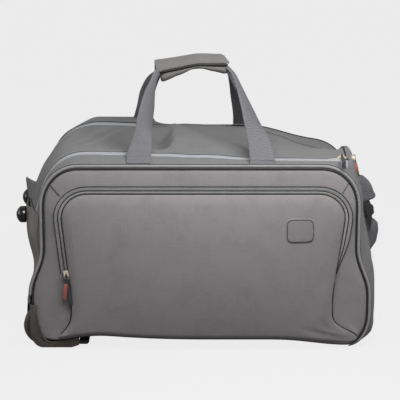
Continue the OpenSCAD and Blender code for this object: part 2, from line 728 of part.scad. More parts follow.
// Wheels
wheel_y = -half_d + housing_depth / 2;
tyre_edge = 6;
groove_r = 0.8;
groove_y = 4;
module tyre() {
    r = wheel_d / 2;
    rotate([90, 0, 0])
    rotate_extrude()
    difference() {
        translate([hub_d / 2, -wheel_w / 2]) square([r - hub_d / 2, wheel_w]);
        for (s = [-1, 1]) translate([r, s * wheel_w / 2]) rotate(45) square(tyre_edge, center = true);
        for (s = [-1, 1]) translate([r, s * groove_y]) circle(groove_r);
    }
}
rim_wall = 3;
nave_wall = 2.5;
dish_deep = 4;
spoke_t = 4;
shelf = 2;
module hub() {
    bore = bearing_d / 2;
    rotate([90, 0, 0])
    difference() {
        cylinder(d = hub_d, h = wheel_w, center = true);
        cylinder(r = bore - shelf, h = far, center = true);
        for (s = [0, 1]) mirror([0, 0, s]) translate([0, 0, wheel_w / 2 - bearing_w])
            cylinder(r = bore, h = bearing_w + 1);
        for (s = [-1, 1]) translate([0, 0, s * wheel_w / 2]) difference() {
            cylinder(d = hub_d - 2 * rim_wall, h = 2 * dish_deep, center = true);
            cylinder(r = bore + nave_wall, h = far, center = true);
            for (a = [0, 60, 120]) rotate(a) cube([hub_d, spoke_t, far], center = true);
        }
    }
}
module bearing_pair() {
    rotate([90, 0, 0])
    for (s = [-1, 1]) translate([0, 0, s * (wheel_w - bearing_w) / 2]) difference() {
        cylinder(d = bearing_d, h = bearing_w, center = true);
        cylinder(r = axle_d / 2 + run_gap, h = far, center = true);
    }
}
module at_wheel() { translate([-wheel_x, wheel_y, wheel_z]) children(); }
module tyre_front() { color(near_black) front_side() at_wheel() tyre(); }
module tyre_rear() { color(near_black) rear_side() at_wheel() tyre(); }
module hub_front() { color(dark_grey) front_side() at_wheel() hub(); }
module hub_rear() { color(dark_grey) rear_side() at_wheel() hub(); }
module bearings_front() { color(steel) front_side() at_wheel() bearing_pair(); }
module bearings_rear() { color(steel) rear_side() at_wheel() bearing_pair(); }

axle_end_gap = 1;
axle_len = housing_depth - 2 * axle_end_gap;
module axle() { at_wheel() rotate([90, 0, 0]) cylinder(d = axle_d, h = axle_len, center = true); }
module axle_front() { color(steel) front_side() axle(); }
module axle_rear() { color(steel) rear_side() axle(); }

// Moulded housing: a box behind the panel with the wheel arch cut out of it, side walls that carry
// the axle, and a corner guard that follows the seam in front
arch_r = wheel_d / 2 + arch_gap;
guard_shy = 5;
guard_r = wheel_d / 2 - guard_shy;
guard_heel = 7.5;
guard_toe_l = 12;
guard_toe_h = 4;
guard_low = 3;
guard_gap = 0.6;
housing_chamfer = 14;
boss_wall = 3;
bead_w = 2;
bead_h = 1;
slot_l = 10;
slot_w = 2.4;
slot_turn = -55;
slot_inset = -1;
slot_z = 16;
slot_deep = 3;
module guard_profile() {
    end_x = guard_foot - wheel_x;
    polygon(concat(
        [[lap_x - left_corner_w - guard_gap, housing_top]],
        part_of(lap_arc(guard_gap), 1, ARC),
        [for (i = [1:ARC])
            let (x = lap_x + (end_x - lap_x) * i / ARC)
            [x, seam_bottom(x) - guard_gap]],
        [[end_x, guard_low + guard_toe_h], [end_x - guard_toe_l, guard_low]],
        heel_arc(),
        [[-housing_left, housing_top]]));
}
// The round heel that leaves the tyre's lower left quarter open to view
function heel_arc() = back(arc(-wheel_x, guard_low + guard_r, guard_r - guard_heel, guard_r, 180, 270));
module cheek_profile() {
    polygon(concat(
        heel_arc(),
        [[housing_chamfer - housing_left, housing_top], [-housing_right, housing_top],
            [-housing_right, housing_low]]));
}
// A raised bead along the guard's inner edge
module guard_bead() {
    polygon(concat(part_of(lap_arc(guard_gap), 1, ARC), back(part_of(lap_arc(guard_gap + bead_w), 1, ARC))));
}
module wheel_housing() {
    difference() {
        union() {
            slab(-half_d, housing_depth) cheek_profile();
            slab(-half_d - guard_t, guard_t) guard_profile();
            slab(-half_d - guard_t - bead_h, guard_t) guard_bead();
        }
        slab(-half_d - guard_t - bead_h - touch, slot_deep)
            translate([slot_inset - wheel_x, slot_z])
            rotate(slot_turn) rounded(slot_l, slot_w, slot_w / 2 - touch);
        at_wheel() rotate([90, 0, 0]) cylinder(r = arch_r, h = housing_depth - 2 * housing_t, center = true);
        at_wheel() rotate([90, 0, 0]) cylinder(d = axle_d, h = axle_len, center = true);
    }
    for (s = [-1, 1]) translate([0, s * (wheel_w / 2 + touch), 0])
        at_wheel() rotate([s * 90, 0, 0]) mirror([0, 0, 1]) difference() {
            cylinder(d = axle_d + 2 * boss_wall, h = (housing_depth - wheel_w) / 2 - housing_t - touch);
            cylinder(d = axle_d, h = far, center = true);
        }
}
module wheel_housing_front() { color(dark_grey) front_side() wheel_housing(); }
module wheel_housing_rear() { color(dark_grey) rear_side() wheel_housing(); }

bumper_w = 16;
bumper_deep = 24;
bumper_low = 8.5;
bumper_high = 14.5;
bumper_edge = 3;
module housing_bumpers() {
    color(near_black)
    both_sides()
    translate([guard_foot - wheel_x + touch, 0, 0])
    slab(-half_d - guard_t, guard_t + bumper_deep)
        polygon([[0, bumper_low], [bumper_w - bumper_edge, bumper_low], [bumper_w, bumper_low + bumper_edge],
            [bumper_w, bumper_high], [0, bumper_high]]);
}

runner_l = 100;
runner_w = 16;
runner_inset = 20;
module base_runners() {
    x1 = foot_x - runner_inset;
    x0 = x1 - runner_l;
    color(near_black)
    for (y = [-1, 1])
        translate([0, mid_y + y * tube_pitch / 2, 0])
        slab(-runner_w / 2, runner_w)
            polygon([[x0, 0], [x1, 0], [x1, floor_z(x1)], [x0, floor_z(x0)]]);
}

// Pull handle
module at_tubes(x) {
    for (y = [-1, 1])
        translate([x, mid_y + y * tube_pitch / 2, tube_z]) rotate([0, 90, 0]) children();
}
module pipe(od, id, l) {
    difference() {
        cylinder(d = od, h = l);
        translate([0, 0, -touch]) cylinder(d = id, h = l + 2 * touch);
    }
}
bezel_x = end_half_w - bezel_depth;
outer_tube_id = outer_tube_d - 2 * tube_wall;
mid_tube_id = mid_tube_d - 2 * tube_wall;
inner_tube_id = inner_tube_d - 2 * tube_wall;
outer_tube_l = bezel_x + tube_tail;
stage_step = 8;
module trolley_outer_tubes() {
    color(steel) at_tubes(-tube_tail) pipe(outer_tube_d, outer_tube_id, outer_tube_l);
}
module outer_tube_collars() {
    color(near_black) at_tubes(bezel_x - collar_l) pipe(outer_tube_id, mid_tube_d + 2 * run_gap, collar_l);
}
mid_tube_l = outer_tube_l - stage_step;
module mid_tubes() {
    color(steel) at_tubes(stage_step - tube_tail) pipe(mid_tube_d, mid_tube_id, mid_tube_l);
}
module mid_collars() {
    color(near_black) {
        at_tubes(bezel_x - collar_l) pipe(mid_tube_id, inner_tube_d + 2 * run_gap, collar_l);
        at_tubes(stage_step - tube_tail) pipe(outer_tube_id - 2 * run_gap, mid_tube_d, collar_l);
    }
}
grip_back_gap = 3;
grip_x = bezel_x + bezel_t + grip_back_gap;
grip_socket = 8;
inner_start = 2 * stage_step - tube_tail;
inner_tube_l = grip_x + grip_t + grip_socket - inner_start;
module inner_tubes() { color(steel) at_tubes(inner_start) pipe(inner_tube_d, inner_tube_id, inner_tube_l); }
module tube_plugs() {
    color(near_black) at_tubes(inner_start) pipe(mid_tube_id - 2 * run_gap, inner_tube_d, collar_l);
}

bracket_t = 9;
bracket_wall = 6;
module trolley_base_bracket() {
    w = tube_pitch + outer_tube_d + 2 * bracket_wall;
    z0 = floor_z(-tube_tail - bracket_t) + wall + touch;
    color(dark_grey)
    difference() {
        translate([-tube_tail - bracket_t, mid_y - w / 2, z0]) cube([2 * bracket_t, w, board_z - touch - z0]);
        at_tubes(-tube_tail) cylinder(d = outer_tube_d, h = far);
    }
}

tray_corner = 6;
flange_corner = 8;
tube_hole_gap = 1;
module bezel_block(x, l, w, h, r) { translate([0, mid_y, tube_z]) bar(x, l) rounded(w, h, r); }
module trolley_bezel() {
    color(dark_grey)
    difference() {
        union() {
            bezel_block(bezel_x, bezel_depth, tray_w, tray_h, tray_corner);
            bezel_block(end_half_w, bezel_t, bezel_w, bezel_h, flange_corner);
        }
        bezel_block(bezel_x + bezel_t, far, tray_w - 2 * bezel_t, tray_h - 2 * bezel_t,
            tray_corner - bezel_t);
        at_tubes(bezel_x - touch) cylinder(d = mid_tube_d + 2 * tube_hole_gap, h = bezel_t + 2 * touch);
    }
}

// Grip: two shells that clamp the inner tubes, with the button in the outer face
grip_corner = 7;
module grip_block(inset) {
    translate([grip_x + inset, mid_y, tube_z])
    bar(0, grip_depth - 2 * inset)
    rounded(grip_w - 2 * inset, grip_h - 2 * inset, grip_corner - inset);
}
button_gap = 0.3;
socket_wall = 2.5;
rod_gap = 1;
module grip_shell() {
    difference() {
        grip_block(0);
        difference() {
            grip_block(grip_t);
            at_tubes(grip_x) cylinder(d = inner_tube_d + 2 * socket_wall, h = grip_t + grip_socket);
        }
        at_tubes(grip_x - touch) cylinder(d = inner_tube_d, h = grip_t + grip_socket + touch);
        at_tubes(grip_x - touch) cylinder(d = rod_d + 2 * rod_gap, h = grip_depth - grip_t);
        translate([grip_x + grip_depth, mid_y, tube_z])
            cube([3 * grip_t, button_w + 2 * button_gap, button_h + 2 * button_gap], center = true);
    }
}
module grip_body() {
    color(near_black) intersection() {
        grip_shell();
        translate([0, -far / 2, tube_z - far]) cube(far);
    }
}
module grip_cover() {
    color(near_black) intersection() {
        grip_shell();
        translate([0, -far / 2, tube_z]) cube(far);
    }
}

button_proud = 1.5;
button_corner = 2;
yoke_t = 4;
yoke_wall = 2;
yoke_x = grip_x + grip_depth - grip_t - button_travel - yoke_t;
module release_button() {
    color(dark_grey)
    translate([yoke_x + yoke_t, mid_y, tube_z]) {
        bar(0, grip_x + grip_depth + button_proud - yoke_x - yoke_t)
            rounded(button_w, button_h, button_corner);
        translate([-yoke_t, 0, 0]) bar(0, yoke_t)
            rounded(tube_pitch + rod_d + 2 * yoke_wall, rod_d + 3 / 2 * yoke_wall, button_corner);
    }
}
rod_l = 60;
module push_rods() { color(steel) at_tubes(yoke_x - rod_l) cylinder(d = rod_d, h = rod_l); }

spring_d = 7;
spring_wire = 1;
spring_turns = 4;
TURN_STEPS = 12;
WIRE_SIDES = 6;
spring_x0 = grip_x + grip_t;
spring_l = yoke_x - spring_x0 - 2 * touch;
module button_spring() {
    steps = TURN_STEPS * spring_turns;
    wire_r = spring_wire / 2;
    first_x = spring_x0 + touch + wire_r;
    rings = [for (i = [0:steps])
        let (a = 360 * i / TURN_STEPS, x = first_x + (spring_l - spring_wire) * i / steps)
        [for (k = [0:WIRE_SIDES - 1])
            let (b = 360 * k / WIRE_SIDES, r = spring_d / 2 - wire_r + wire_r * cos(b))
            [x + wire_r * sin(b), mid_y + r * cos(a), tube_z + r * sin(a)]]];
    color(steel) ring_stack(rings, false);
}

// Placed sliders and pulls
front_slider_inset = 2;
front_slider_x = right_bend_x - front_slider_inset;
front_slider_y = -lid_half_y - slider_w / 2 - touch;
front_slider_z = lid_z(front_slider_x - slider_l / 2) + touch;
front_pull_drop = 10;
front_pull_gap = 1;
front_pull_len = half_d + piping_d + front_slider_y + 2 * touch + pull_t + front_pull_gap;
module at_front_slider() {
    front_side()
    translate([front_slider_x, front_slider_y, front_slider_z])
    rotate([0, atan(lid_fall), 0]) children();
}
module main_slider_front() { color(pale_gold) at_front_slider() slider_block(0); }
module main_pull_front() {
    color(near_black)
    at_front_slider()
    translate([0, 0, pin_h]) rotate(180) pull_link(front_pull_len, front_pull_drop);
}

function bend_z(x) = right_bend_z + right_bend_h * sqrt(1 - pow((x - right_bend_x) / right_bend_w, 2));
end_slider_x = lid_right_x + chain_w + slider_w / 2 + touch;
end_slider_y = slider_l - lid_half_y;
tilt_step = 3;
end_slider_fall = bend_z(end_slider_x - tilt_step) - bend_z(end_slider_x + tilt_step);
end_slider_tilt = atan(end_slider_fall / (2 * tilt_step));
end_pull_len = 34;
end_pull_hang = 16;
module at_end_slider() {
    front_side()
    translate([end_slider_x, end_slider_y, bend_z(end_slider_x) + 2 * touch])
    rotate([0, end_slider_tilt, 0]) rotate(90) children();
}
module main_slider_end() { color(pale_gold) at_end_slider() slider_block(0); }
module main_pull_end() {
    color(dark_grey)
    at_end_slider()
    translate([0, 0, pin_h]) rotate(180) rotate([-end_pull_hang, 0, 0]) pull_link(end_pull_len, 0);
}

pocket_lean = atan(pocket_widening);
pocket_slider_x = pocket_side(pocket_slider_z) + pocket_gap + pocket_chain_w / 2;
pocket_pull_len = 50;
// Turns a slider that lies along X so that it runs up the pocket's left side
up_turn = 90;
module at_pocket_slider() {
    at_pocket()
    translate([-pocket_slider_x, -pocket_face - chain_h - touch, pocket_slider_z])
    rotate([90, 0, 0]) rotate(pocket_lean + up_turn) children();
}
module pocket_slider() { color(pale_gold) at_pocket_slider() slider_block(up_turn); }
module pocket_pull() {
    color(near_black)
    at_pocket_slider()
    translate([0, 0, pin_h]) rotate(up_turn) pull_link(pocket_pull_len, 0);
}

gusset_shell();
front_panel();
rear_panel();
front_piping();
rear_piping();
base_board();
main_zip_chain();
pocket_panel();
pocket_zip_chain();
blank_patch();
strap_anchors();
grab_handle();
left_end_patch();
end_feet();
wheel_housing_front();
wheel_housing_rear();
axle_front();
axle_rear();
housing_bumpers();
base_runners();
trolley_outer_tubes();
outer_tube_collars();
trolley_base_bracket();
trolley_bezel();
lid_panel();
lid_zip_chain();
lid_tab();
front_strap();
handle_wrap();
rear_strap();
tyre_front();
hub_front();
bearings_front();
tyre_rear();
hub_rear();
bearings_rear();
mid_tubes();
mid_collars();
inner_tubes();
tube_plugs();
grip_body();
grip_cover();
button_spring();
release_button();
push_rods();
main_slider_front();
main_pull_front();
main_slider_end();
main_pull_end();
pocket_slider();
pocket_pull();
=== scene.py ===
"""Looks of a rolling duffel bag: fabric, webbing, zips and mouldings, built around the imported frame."""
from math import acos, asin, copysign, cos, degrees, exp, pi, radians, sin, sqrt

import bmesh
import bpy
from mathutils import Matrix, Vector
from mathutils.noise import noise


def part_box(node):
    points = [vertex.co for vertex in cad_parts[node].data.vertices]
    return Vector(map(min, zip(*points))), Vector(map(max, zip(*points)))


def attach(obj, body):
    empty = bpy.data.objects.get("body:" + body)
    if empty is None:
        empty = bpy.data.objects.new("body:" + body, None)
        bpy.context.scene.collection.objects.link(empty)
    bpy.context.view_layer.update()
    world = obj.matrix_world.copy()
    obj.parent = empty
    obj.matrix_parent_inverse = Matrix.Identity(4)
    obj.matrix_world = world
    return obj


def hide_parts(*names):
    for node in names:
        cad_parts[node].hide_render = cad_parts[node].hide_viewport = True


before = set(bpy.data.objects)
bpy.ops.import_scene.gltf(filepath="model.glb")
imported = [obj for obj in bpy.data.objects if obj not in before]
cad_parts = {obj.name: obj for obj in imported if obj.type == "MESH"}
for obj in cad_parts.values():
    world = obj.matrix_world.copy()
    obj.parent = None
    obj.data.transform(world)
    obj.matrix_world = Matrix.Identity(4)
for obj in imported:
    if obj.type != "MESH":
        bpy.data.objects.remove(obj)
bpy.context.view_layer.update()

# Sewn body
# One long strip of woven polyester is sewn into a ring that makes the top, both ends and the base.
# It joins the two panels at piped seams, and a U-shaped zip cuts the lid out of its top.
# Sizes here and below are in millimetres; a mesh is turned to metres when its piece is finished.
METRE = 0.001
seam_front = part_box("front_panel")[1].y / METRE
seam_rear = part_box("rear_panel")[0].y / METRE
mid_y = (seam_front + seam_rear) / 2
bag_middle = (0, mid_y, 160)
strip_depth = 42
lid_right_x = 236
hinge_z = 217
# How many steps each stretch of a ring round the body has
FLOOR, CORNER, SIDE, SHOULDER, TOP = 22, 6, 14, 9, 56
# The piped seam seen from the front: its top, its half widths, and the middles and radii of its bends
seam_top, seam_hips, seam_shoulders = 300, 270, 250
bend_x, bend_z, bend_radii = 194, 238, (56, 62)
right_foot, right_foot_radii = (238, 57.5), (32, 50)
left_foot, left_foot_radii = (-250, 75), (20, 62)
# How far outside that line the body strip begins
strip_edge = 4


def ease(a, b, t):
    """Goes smoothly from a to b while t goes from 0 to 1."""
    t = min(1, max(0, t))
    return a + (b - a) * t * t * (3 - 2 * t)


def fade(value, start, run):
    """0 up to start, then a smooth rise to 1 over run."""
    return ease(0, 1, (value - start) / run)


def bell(value, middle, width):
    """1 in the middle, fading out over width on both sides of it."""
    return exp(-(((value - middle) / width) ** 2))


def spread(a, b, steps):
    return [a + (b - a) * i / steps for i in range(steps + 1)]


def arc(centre, radii, first, last, steps, grow=0):
    turns = [radians(a) for a in spread(first, last, steps)]
    return [(centre[0] + (radii[0] + grow) * cos(a), centre[1] + (radii[1] + grow) * sin(a)) for a in turns]


def seam_side(z):
    """Half width of the piped seam: full at the hips and drawn in above them."""
    return ease(seam_hips, seam_shoulders, (z - 92) / 73)


def seam_floor(x):
    """Height of the bottom seam: low at the wheels, a crest beside them, then level to the right foot."""
    crest_x, wheel_z, crest_z, level_z, drop_x = -160, 13, 24, 17, 125
    if x < crest_x:
        return ease(wheel_z, crest_z, (x - left_foot[0]) / (crest_x - left_foot[0]))
    short = 1 - min(1, (x - crest_x) / 160)
    drop = ease(0, 9.5, (x - drop_x) / (right_foot[0] - drop_x))
    return level_z + (crest_z - level_z) * short * short - drop


def seam_ring(grow=0):
    """The piped seam from its left foot round by the right, moved out by grow."""
    return (
        [(x, seam_floor(x) - grow) for x in spread(left_foot[0], right_foot[0], FLOOR)[:-1]]
        + arc(right_foot, right_foot_radii, 270, 360, CORNER, grow)
        + [(seam_side(z) + grow, z) for z in spread(right_foot[1], bend_z, SIDE)[1:-1]]
        + arc((bend_x, bend_z), bend_radii, 0, 90, SHOULDER, grow)
        + [(x, seam_top + grow) for x in spread(bend_x, -bend_x, TOP)[1:-1]]
        + arc((-bend_x, bend_z), bend_radii, 90, 180, SHOULDER, grow)
        + [(-seam_side(z) - grow, z) for z in spread(bend_z, left_foot[1], SIDE)[1:-1]]
        + arc(left_foot, left_foot_radii, 180, 270, CORNER, grow)[:-1]
    )


def top_edge(x, middle, radii, level):
    """Height of a shoulder beyond the middle of its bend, and the level top on this side of it."""
    past = max(0, x - middle) / radii[0]
    return level - radii[1] * (1 - sqrt(1 - past * past))


def body_seam():
    """The seam as the edge of the strips, with points where the lid's right edge and its hinge meet it."""
    seam, first = seam_ring(strip_edge), FLOOR + CORNER + SIDE
    radii, top = [r + strip_edge for r in bend_radii], seam_top + strip_edge
    lid_turn = degrees(acos((lid_right_x - bend_x) / radii[0]))
    return (
        seam[:first]
        + arc((bend_x, bend_z), radii, 0, lid_turn, SHOULDER)
        + [(x, top_edge(x, bend_x, radii, top)) for x in spread(lid_right_x, -bend_x, TOP)[1:-1]]
        + arc((-bend_x, bend_z), radii, 90, 180, SHOULDER - 1)
        + [(-seam_side(z) - strip_edge, z) for z in spread(hinge_z, left_foot[1], SIDE)[:-1]]
        + seam[-CORNER:]
    )


def left_waist(z, depth):
    """How far the left end is drawn in half-way up."""
    return depth * bell(z, 114, 36)


def end_ring():
    """Outline of the body across the middle of its swollen ends, point for point beside the seam's."""
    half, foot_x, foot_radii = 283, 263, (20, 20)
    right_foot_z, left_foot_z = 27.4, 37.6
    right, right_radii = (200, 217), (69, 86)
    left, left_radii = (-190, 205), (93, 110)
    lid_turn = degrees(acos((lid_right_x - right[0]) / right_radii[0]))
    hinge_turn = 180 - degrees(asin((hinge_z - left[1]) / left_radii[1]))
    tops = [(x, ease(315, 303, (x - left[0]) / 390)) for x in spread(lid_right_x, left[0], TOP)[1:-1]]
    slope = arc(left, left_radii, 90, hinge_turn, SHOULDER)
    return (
        [(x, 18 - 11 * (x + half) / (2 * half)) for x in spread(-foot_x, foot_x, FLOOR)[:-1]]
        + arc((foot_x, right_foot_z), foot_radii, 270, 360, CORNER)
        + [(ease(half, 269, (z - 120) / 97), z) for z in spread(right_foot_z, right[1], SIDE)[1:-1]]
        + arc(right, right_radii, 0, lid_turn, SHOULDER)
        + [(x, top_edge(x, right[0], right_radii, level)) for x, level in tops]
        + [(x + 5.5 * bell(z, 243, 20) + 6.5 * bell(z, 280, 24), z) for x, z in slope]
        + [(left_waist(z, 11) - half, z) for z in spread(hinge_z, left_foot_z, SIDE)[1:-1]]
        + arc((-foot_x, left_foot_z), foot_radii, 180, 270, CORNER)[:-1]
    )


# Places along the ring where the lid starts at its right edge and ends at its hinge
LID_FIRST = FLOOR + CORNER + SIDE + SHOULDER
LID_LAST = LID_FIRST + TOP + SHOULDER


def mix(a, b, t):
    return [tuple(p + (q - p) * t for p, q in zip(u, v)) for u, v in zip(a, b)]


def stroke(x, y, points, width):
    """1 along a line drawn through points, fading out over width on both sides of it."""
    spot = Vector((x, y))
    gaps = []
    for a, b in zip(points, points[1:]):
        a, b = Vector(a), Vector(b)
        t = min(1, max(0, (spot - a).dot(b - a) / (b - a).length_squared))
        gaps.append((spot - a - (b - a) * t).length)
    return bell(min(gaps), 0, width)


# How the slack top of the bag lies: lines in plan, their width, and how far the cloth rises there
TOP_FOLDS = [
    ([(-175, 128), (-95, 129)], 22, 14),
    ([(-65, 45), (-63, -45)], 12, -20),
    ([(-20, 96), (20, 93)], 24, 6),
    ([(45, 92), (90, 92)], 17, 5),
    ([(40, 60), (90, 30)], 20, -8),
    ([(215, 110), (190, 40)], 45, -6),
    ([(226, -100), (236, -90)], 12, 10),
    ([(246, -84), (247, -66)], 11, 20),
    ([(245, -46), (246, 100)], 13, 24),
    ([(110, -60), (190, -70)], 10, -3),
    ([(-192, -40), (-148, 78)], 8, 4),
    ([(-172, -45), (-126, 72)], 8, 4),
    ([(-182, -42), (-137, 75)], 6, -3),
    ([(-140, -60), (-100, 30)], 20, -4),
    ([(-20, -70), (40, -62)], 12, -3),
]


def tent(x, y):
    """The lid between the straps stands up as a low tent: steep to the left, gentle to the rear right."""
    height, ridge_y = 12, 90 - 1.27 * (x + 40)
    return height * fade(x, -56, 14) * ease(0, 1, (ridge_y + 16 - y) / 32) * fade(y, -94, 40)


def sag(x, y, z):
    """How far the empty rear right corner has dropped."""
    deepest = 25
    return deepest * fade(x, 80, 130) * fade(y, -30, 150) * fade(z, 190, 90)


def settle(x, y, z):
    """Moves a point of the body to where the slack cloth really lies."""
    spot, folds_from = Vector((x, y, z)), 240
    inside = min(y - seam_front, seam_rear - y)
    rise = 0
    if z > folds_from:
        rise = tent(x, y) + sum(h * stroke(x, y, line, width) for line, width, h in TOP_FOLDS)
        rise *= fade(z, folds_from, 35) * fade(inside, 0, 24)
    ripple = noise(spot / 45) * 1.8 + noise(spot / 17) * 0.6
    out = Vector((x, 0, z - bag_middle[2])).normalized() * ripple * fade(inside, 0, 40)
    return (x + out.x, y, z + out.z + rise - sag(x, y, z))


def body_row(y):
    """The body's outline at one depth: the top swells out over a strip, the ends over half the depth."""
    inside = min(y - seam_front, seam_rear - y)
    quick = 1 - (1 - min(1, inside / strip_depth)) ** 2
    slow = cos(pi / 2 * min(1, abs(y - mid_y) / (seam_rear - mid_y))) ** 1.5
    row = []
    for (x0, z0), (x1, z1) in zip(body_seam(), end_ring()):
        rounded = fade(z1, 110, 90)
        if x1 < 0:
            rounded = max(fade(z1, 150, 90), 0.75 * bell(z1, 128, 45))
        end = fade(abs(x1), 190, 60) * rounded
        t = quick + (slow - quick) * end
        row.append(settle(x0 + (x1 - x0) * t, y, z0 + (z1 - z0) * t))
    return row


def loft(bm, rows, closed=True):
    """Draws a skin through rows of equally many points, extruding one to the next; the weave follows them."""
    uv = bm.loops.layers.uv.verify()
    count = len(rows[0])
    verts = [bm.verts.new(p) for p in rows[0]]
    steps = count if closed else count - 1
    edges = [bm.edges.new((verts[i], verts[(i + 1) % count])) for i in range(steps)]
    spots = {v: (0, i) for i, v in enumerate(verts)}
    for number, row in enumerate(rows[1:], 1):
        order = {v: i for i, v in enumerate(verts)}
        made = bmesh.ops.extrude_edge_only(bm, edges=edges)["geom"]
        edges = [g for g in made if isinstance(g, bmesh.types.BMEdge)]
        for v in [g for g in made if isinstance(g, bmesh.types.BMVert)]:
            old = next(e.other_vert(v) for e in v.link_edges if e.other_vert(v) in order)
            verts[order[old]] = v
            spots[v] = (number, order[old])
            v.co = row[order[old]]
    middle = [Vector(p) for p in rows[len(rows) // 2]]
    across = [0.0]
    for a, b in zip(middle, middle[1:] + middle[:1]):
        across.append(across[-1] + (b - a).length * METRE)
    along = [0.0]
    for a, b in zip(rows, rows[1:]):
        along.append(along[-1] + max((Vector(q) - Vector(p)).length for p, q in zip(a, b)) * METRE)
    for face in bm.faces:
        places = [spots.get(corner.vert) for corner in face.loops]
        if None in places:
            continue
        wraps = closed and {0, count - 1} <= {i for _, i in places}
        for corner, (number, i) in zip(face.loops, places):
            corner[uv].uv = (across[count if wraps and i == 0 else i], along[number])
    return edges


def colour(code):
    """Linear colour of an sRGB hex code."""
    parts = [int(code[i:i + 2], 16) / 255 for i in (1, 3, 5)]
    return tuple(c / 12.92 if c <= 0.04045 else ((c + 0.055) / 1.055) ** 2.4 for c in parts) + (1.0,)


def add(tree, kind, inputs=None, **settings):
    """Adds one node: settings are its properties, inputs its sockets, each linked or set."""
    made = tree.nodes.new("ShaderNode" + kind)
    for name, value in settings.items():
        setattr(made, name, value)
    for key, value in (inputs or {}).items():
        if isinstance(value, bpy.types.NodeSocket):
            tree.links.new(value, made.inputs[key])
        else:
            made.inputs[key].default_value = value
    return made


def start_material(name):
    made = bpy.data.materials.new(name)
    made.use_nodes = True
    made.node_tree.nodes.clear()
    return made, made.node_tree


def end_material(tree, inputs):
    shader = add(tree, "BsdfPrincipled", inputs)
    add(tree, "OutputMaterial", {"Surface": shader.outputs["BSDF"]})


def two_tone(tree, factor, *stops):
    """A colour that follows factor between two stops, each a place from 0 to 1 and a hex code."""
    ramp = add(tree, "ValToRGB", {"Fac": factor})
    for element, (place, code) in zip(ramp.color_ramp.elements, stops):
        element.position = place
        element.color = colour(code)
    return ramp.outputs["Color"]


def speckle(tree, place, scale, detail, roughness=0.5):
    inputs = {"Vector": place, "Scale": scale, "Detail": detail, "Roughness": roughness}
    return add(tree, "TexNoise", inputs).outputs["Fac"]


def waves(pitch_mm):
    """Scale of a wave texture whose bands lie pitch_mm apart."""
    return 2 * pi / 20 / (pitch_mm * METRE)


def woven(name, thread, shade, pitch_mm=2.2, relief=0.35):
    """Plain-woven matt cloth. Its yarns are under a millimetre, so the weave is drawn coarser to show."""
    made, tree = start_material(name)
    cloth = add(tree, "TexCoord").outputs["UV"]
    yarns = {"Vector": cloth, "Scale": waves(pitch_mm), "Distortion": 1.5, "Detail Scale": 2.0}
    warp = add(tree, "TexWave", yarns, bands_direction="X").outputs["Fac"]
    weft = add(tree, "TexWave", yarns, bands_direction="Y").outputs["Fac"]
    weave = add(tree, "Math", {0: warp, 1: weft}, operation="MAXIMUM").outputs[0]
    place = add(tree, "TexCoord").outputs["Object"]
    slub = speckle(tree, place, 26.0, 5.0, 0.65)
    grain = speckle(tree, place, 330.0, 3.0, 0.7)
    rough = add(tree, "Math", {0: grain, 1: 0.6, 2: slub}, operation="MULTIPLY_ADD").outputs[0]
    light = add(tree, "Math", {0: weave, 1: 0.2, 2: rough}, operation="MULTIPLY_ADD").outputs[0]
    bump = add(tree, "Bump", {"Strength": relief, "Distance": 0.0004, "Height": weave})
    end_material(tree, {
        "Base Color": two_tone(tree, light, (0.6, shade), (1.0, thread)), "Roughness": 0.82,
        "Normal": bump.outputs["Normal"], "Sheen Weight": 0.12, "Sheen Roughness": 0.6,
        "Specular IOR Level": 0.25})
    return made


def finish_piece(name, bm, material, body, slot, replaces=(), levels=1, wall=0.0, inside=None):
    bmesh.ops.scale(bm, vec=(METRE,) * 3, verts=bm.verts)
    bmesh.ops.remove_doubles(bm, verts=bm.verts, dist=1e-6)
    bmesh.ops.recalc_face_normals(bm, faces=bm.faces)
    if inside is not None:
        centre = Vector(inside) * METRE
        facing = sum(f.normal.dot(f.calc_center_median() - centre) * f.calc_area() for f in bm.faces)
        if facing < 0:
            bmesh.ops.reverse_faces(bm, faces=bm.faces)
    mesh = bpy.data.meshes.new(name)
    bm.to_mesh(mesh)
    bm.free()
    mesh.shade_smooth()
    piece = bpy.data.objects.new(name, mesh)
    bpy.context.collection.objects.link(piece)
    for finish in material if isinstance(material, list) else [material]:
        mesh.materials.append(finish)
    if wall:
        shell = piece.modifiers.new("wall", "SOLIDIFY")
        shell.thickness = wall * METRE
        shell.offset = -1
        shell.material_offset = len(mesh.materials) - 1
    if levels:
        smooth = piece.modifiers.new("smooth", "SUBSURF")
        smooth.levels = smooth.render_levels = levels
    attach(piece, body)
    if replaces:
        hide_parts(*replaces)
    return piece


def sheet(name, rows, *looks, **more):
    """An open piece of cloth through rows of points."""
    bm = bmesh.new()
    loft(bm, rows, closed=False)
    return finish_piece(name, bm, *looks, **more)


def cushion(name, rings, *looks, **more):
    """A panel through rings from its edge inwards, filled in the middle, with the weave upright."""
    bm = bmesh.new()
    bmesh.ops.triangle_fill(bm, edges=loft(bm, rings), use_beauty=True)
    uv = bm.loops.layers.uv.verify()
    for corner in [c for face in bm.faces for c in face.loops]:
        corner[uv].uv = [corner.vert.co[axis] * METRE for axis in (0, 2)]
    return finish_piece(name, bm, *looks, **more)


body_cloth = woven("woven_polyester_mid_grey", "#696969", "#5d5d5d")
lining = woven("lining_taffeta_dark_grey", "#4a4a4c", "#3c3c3e", pitch_mm=1.8, relief=0.2)

strip_rows = [0, 0.6, 2, 5, 9, 14, 20, 28, 35, strip_depth]
lid_front, lid_rear = seam_front + strip_depth, seam_rear - strip_depth
depths = [seam_front + d for d in strip_rows] + spread(lid_front, lid_rear, 26)[1:-1]
depths += [seam_rear - d for d in reversed(strip_rows)]
bm = bmesh.new()
loft(bm, [body_row(y) for y in depths])
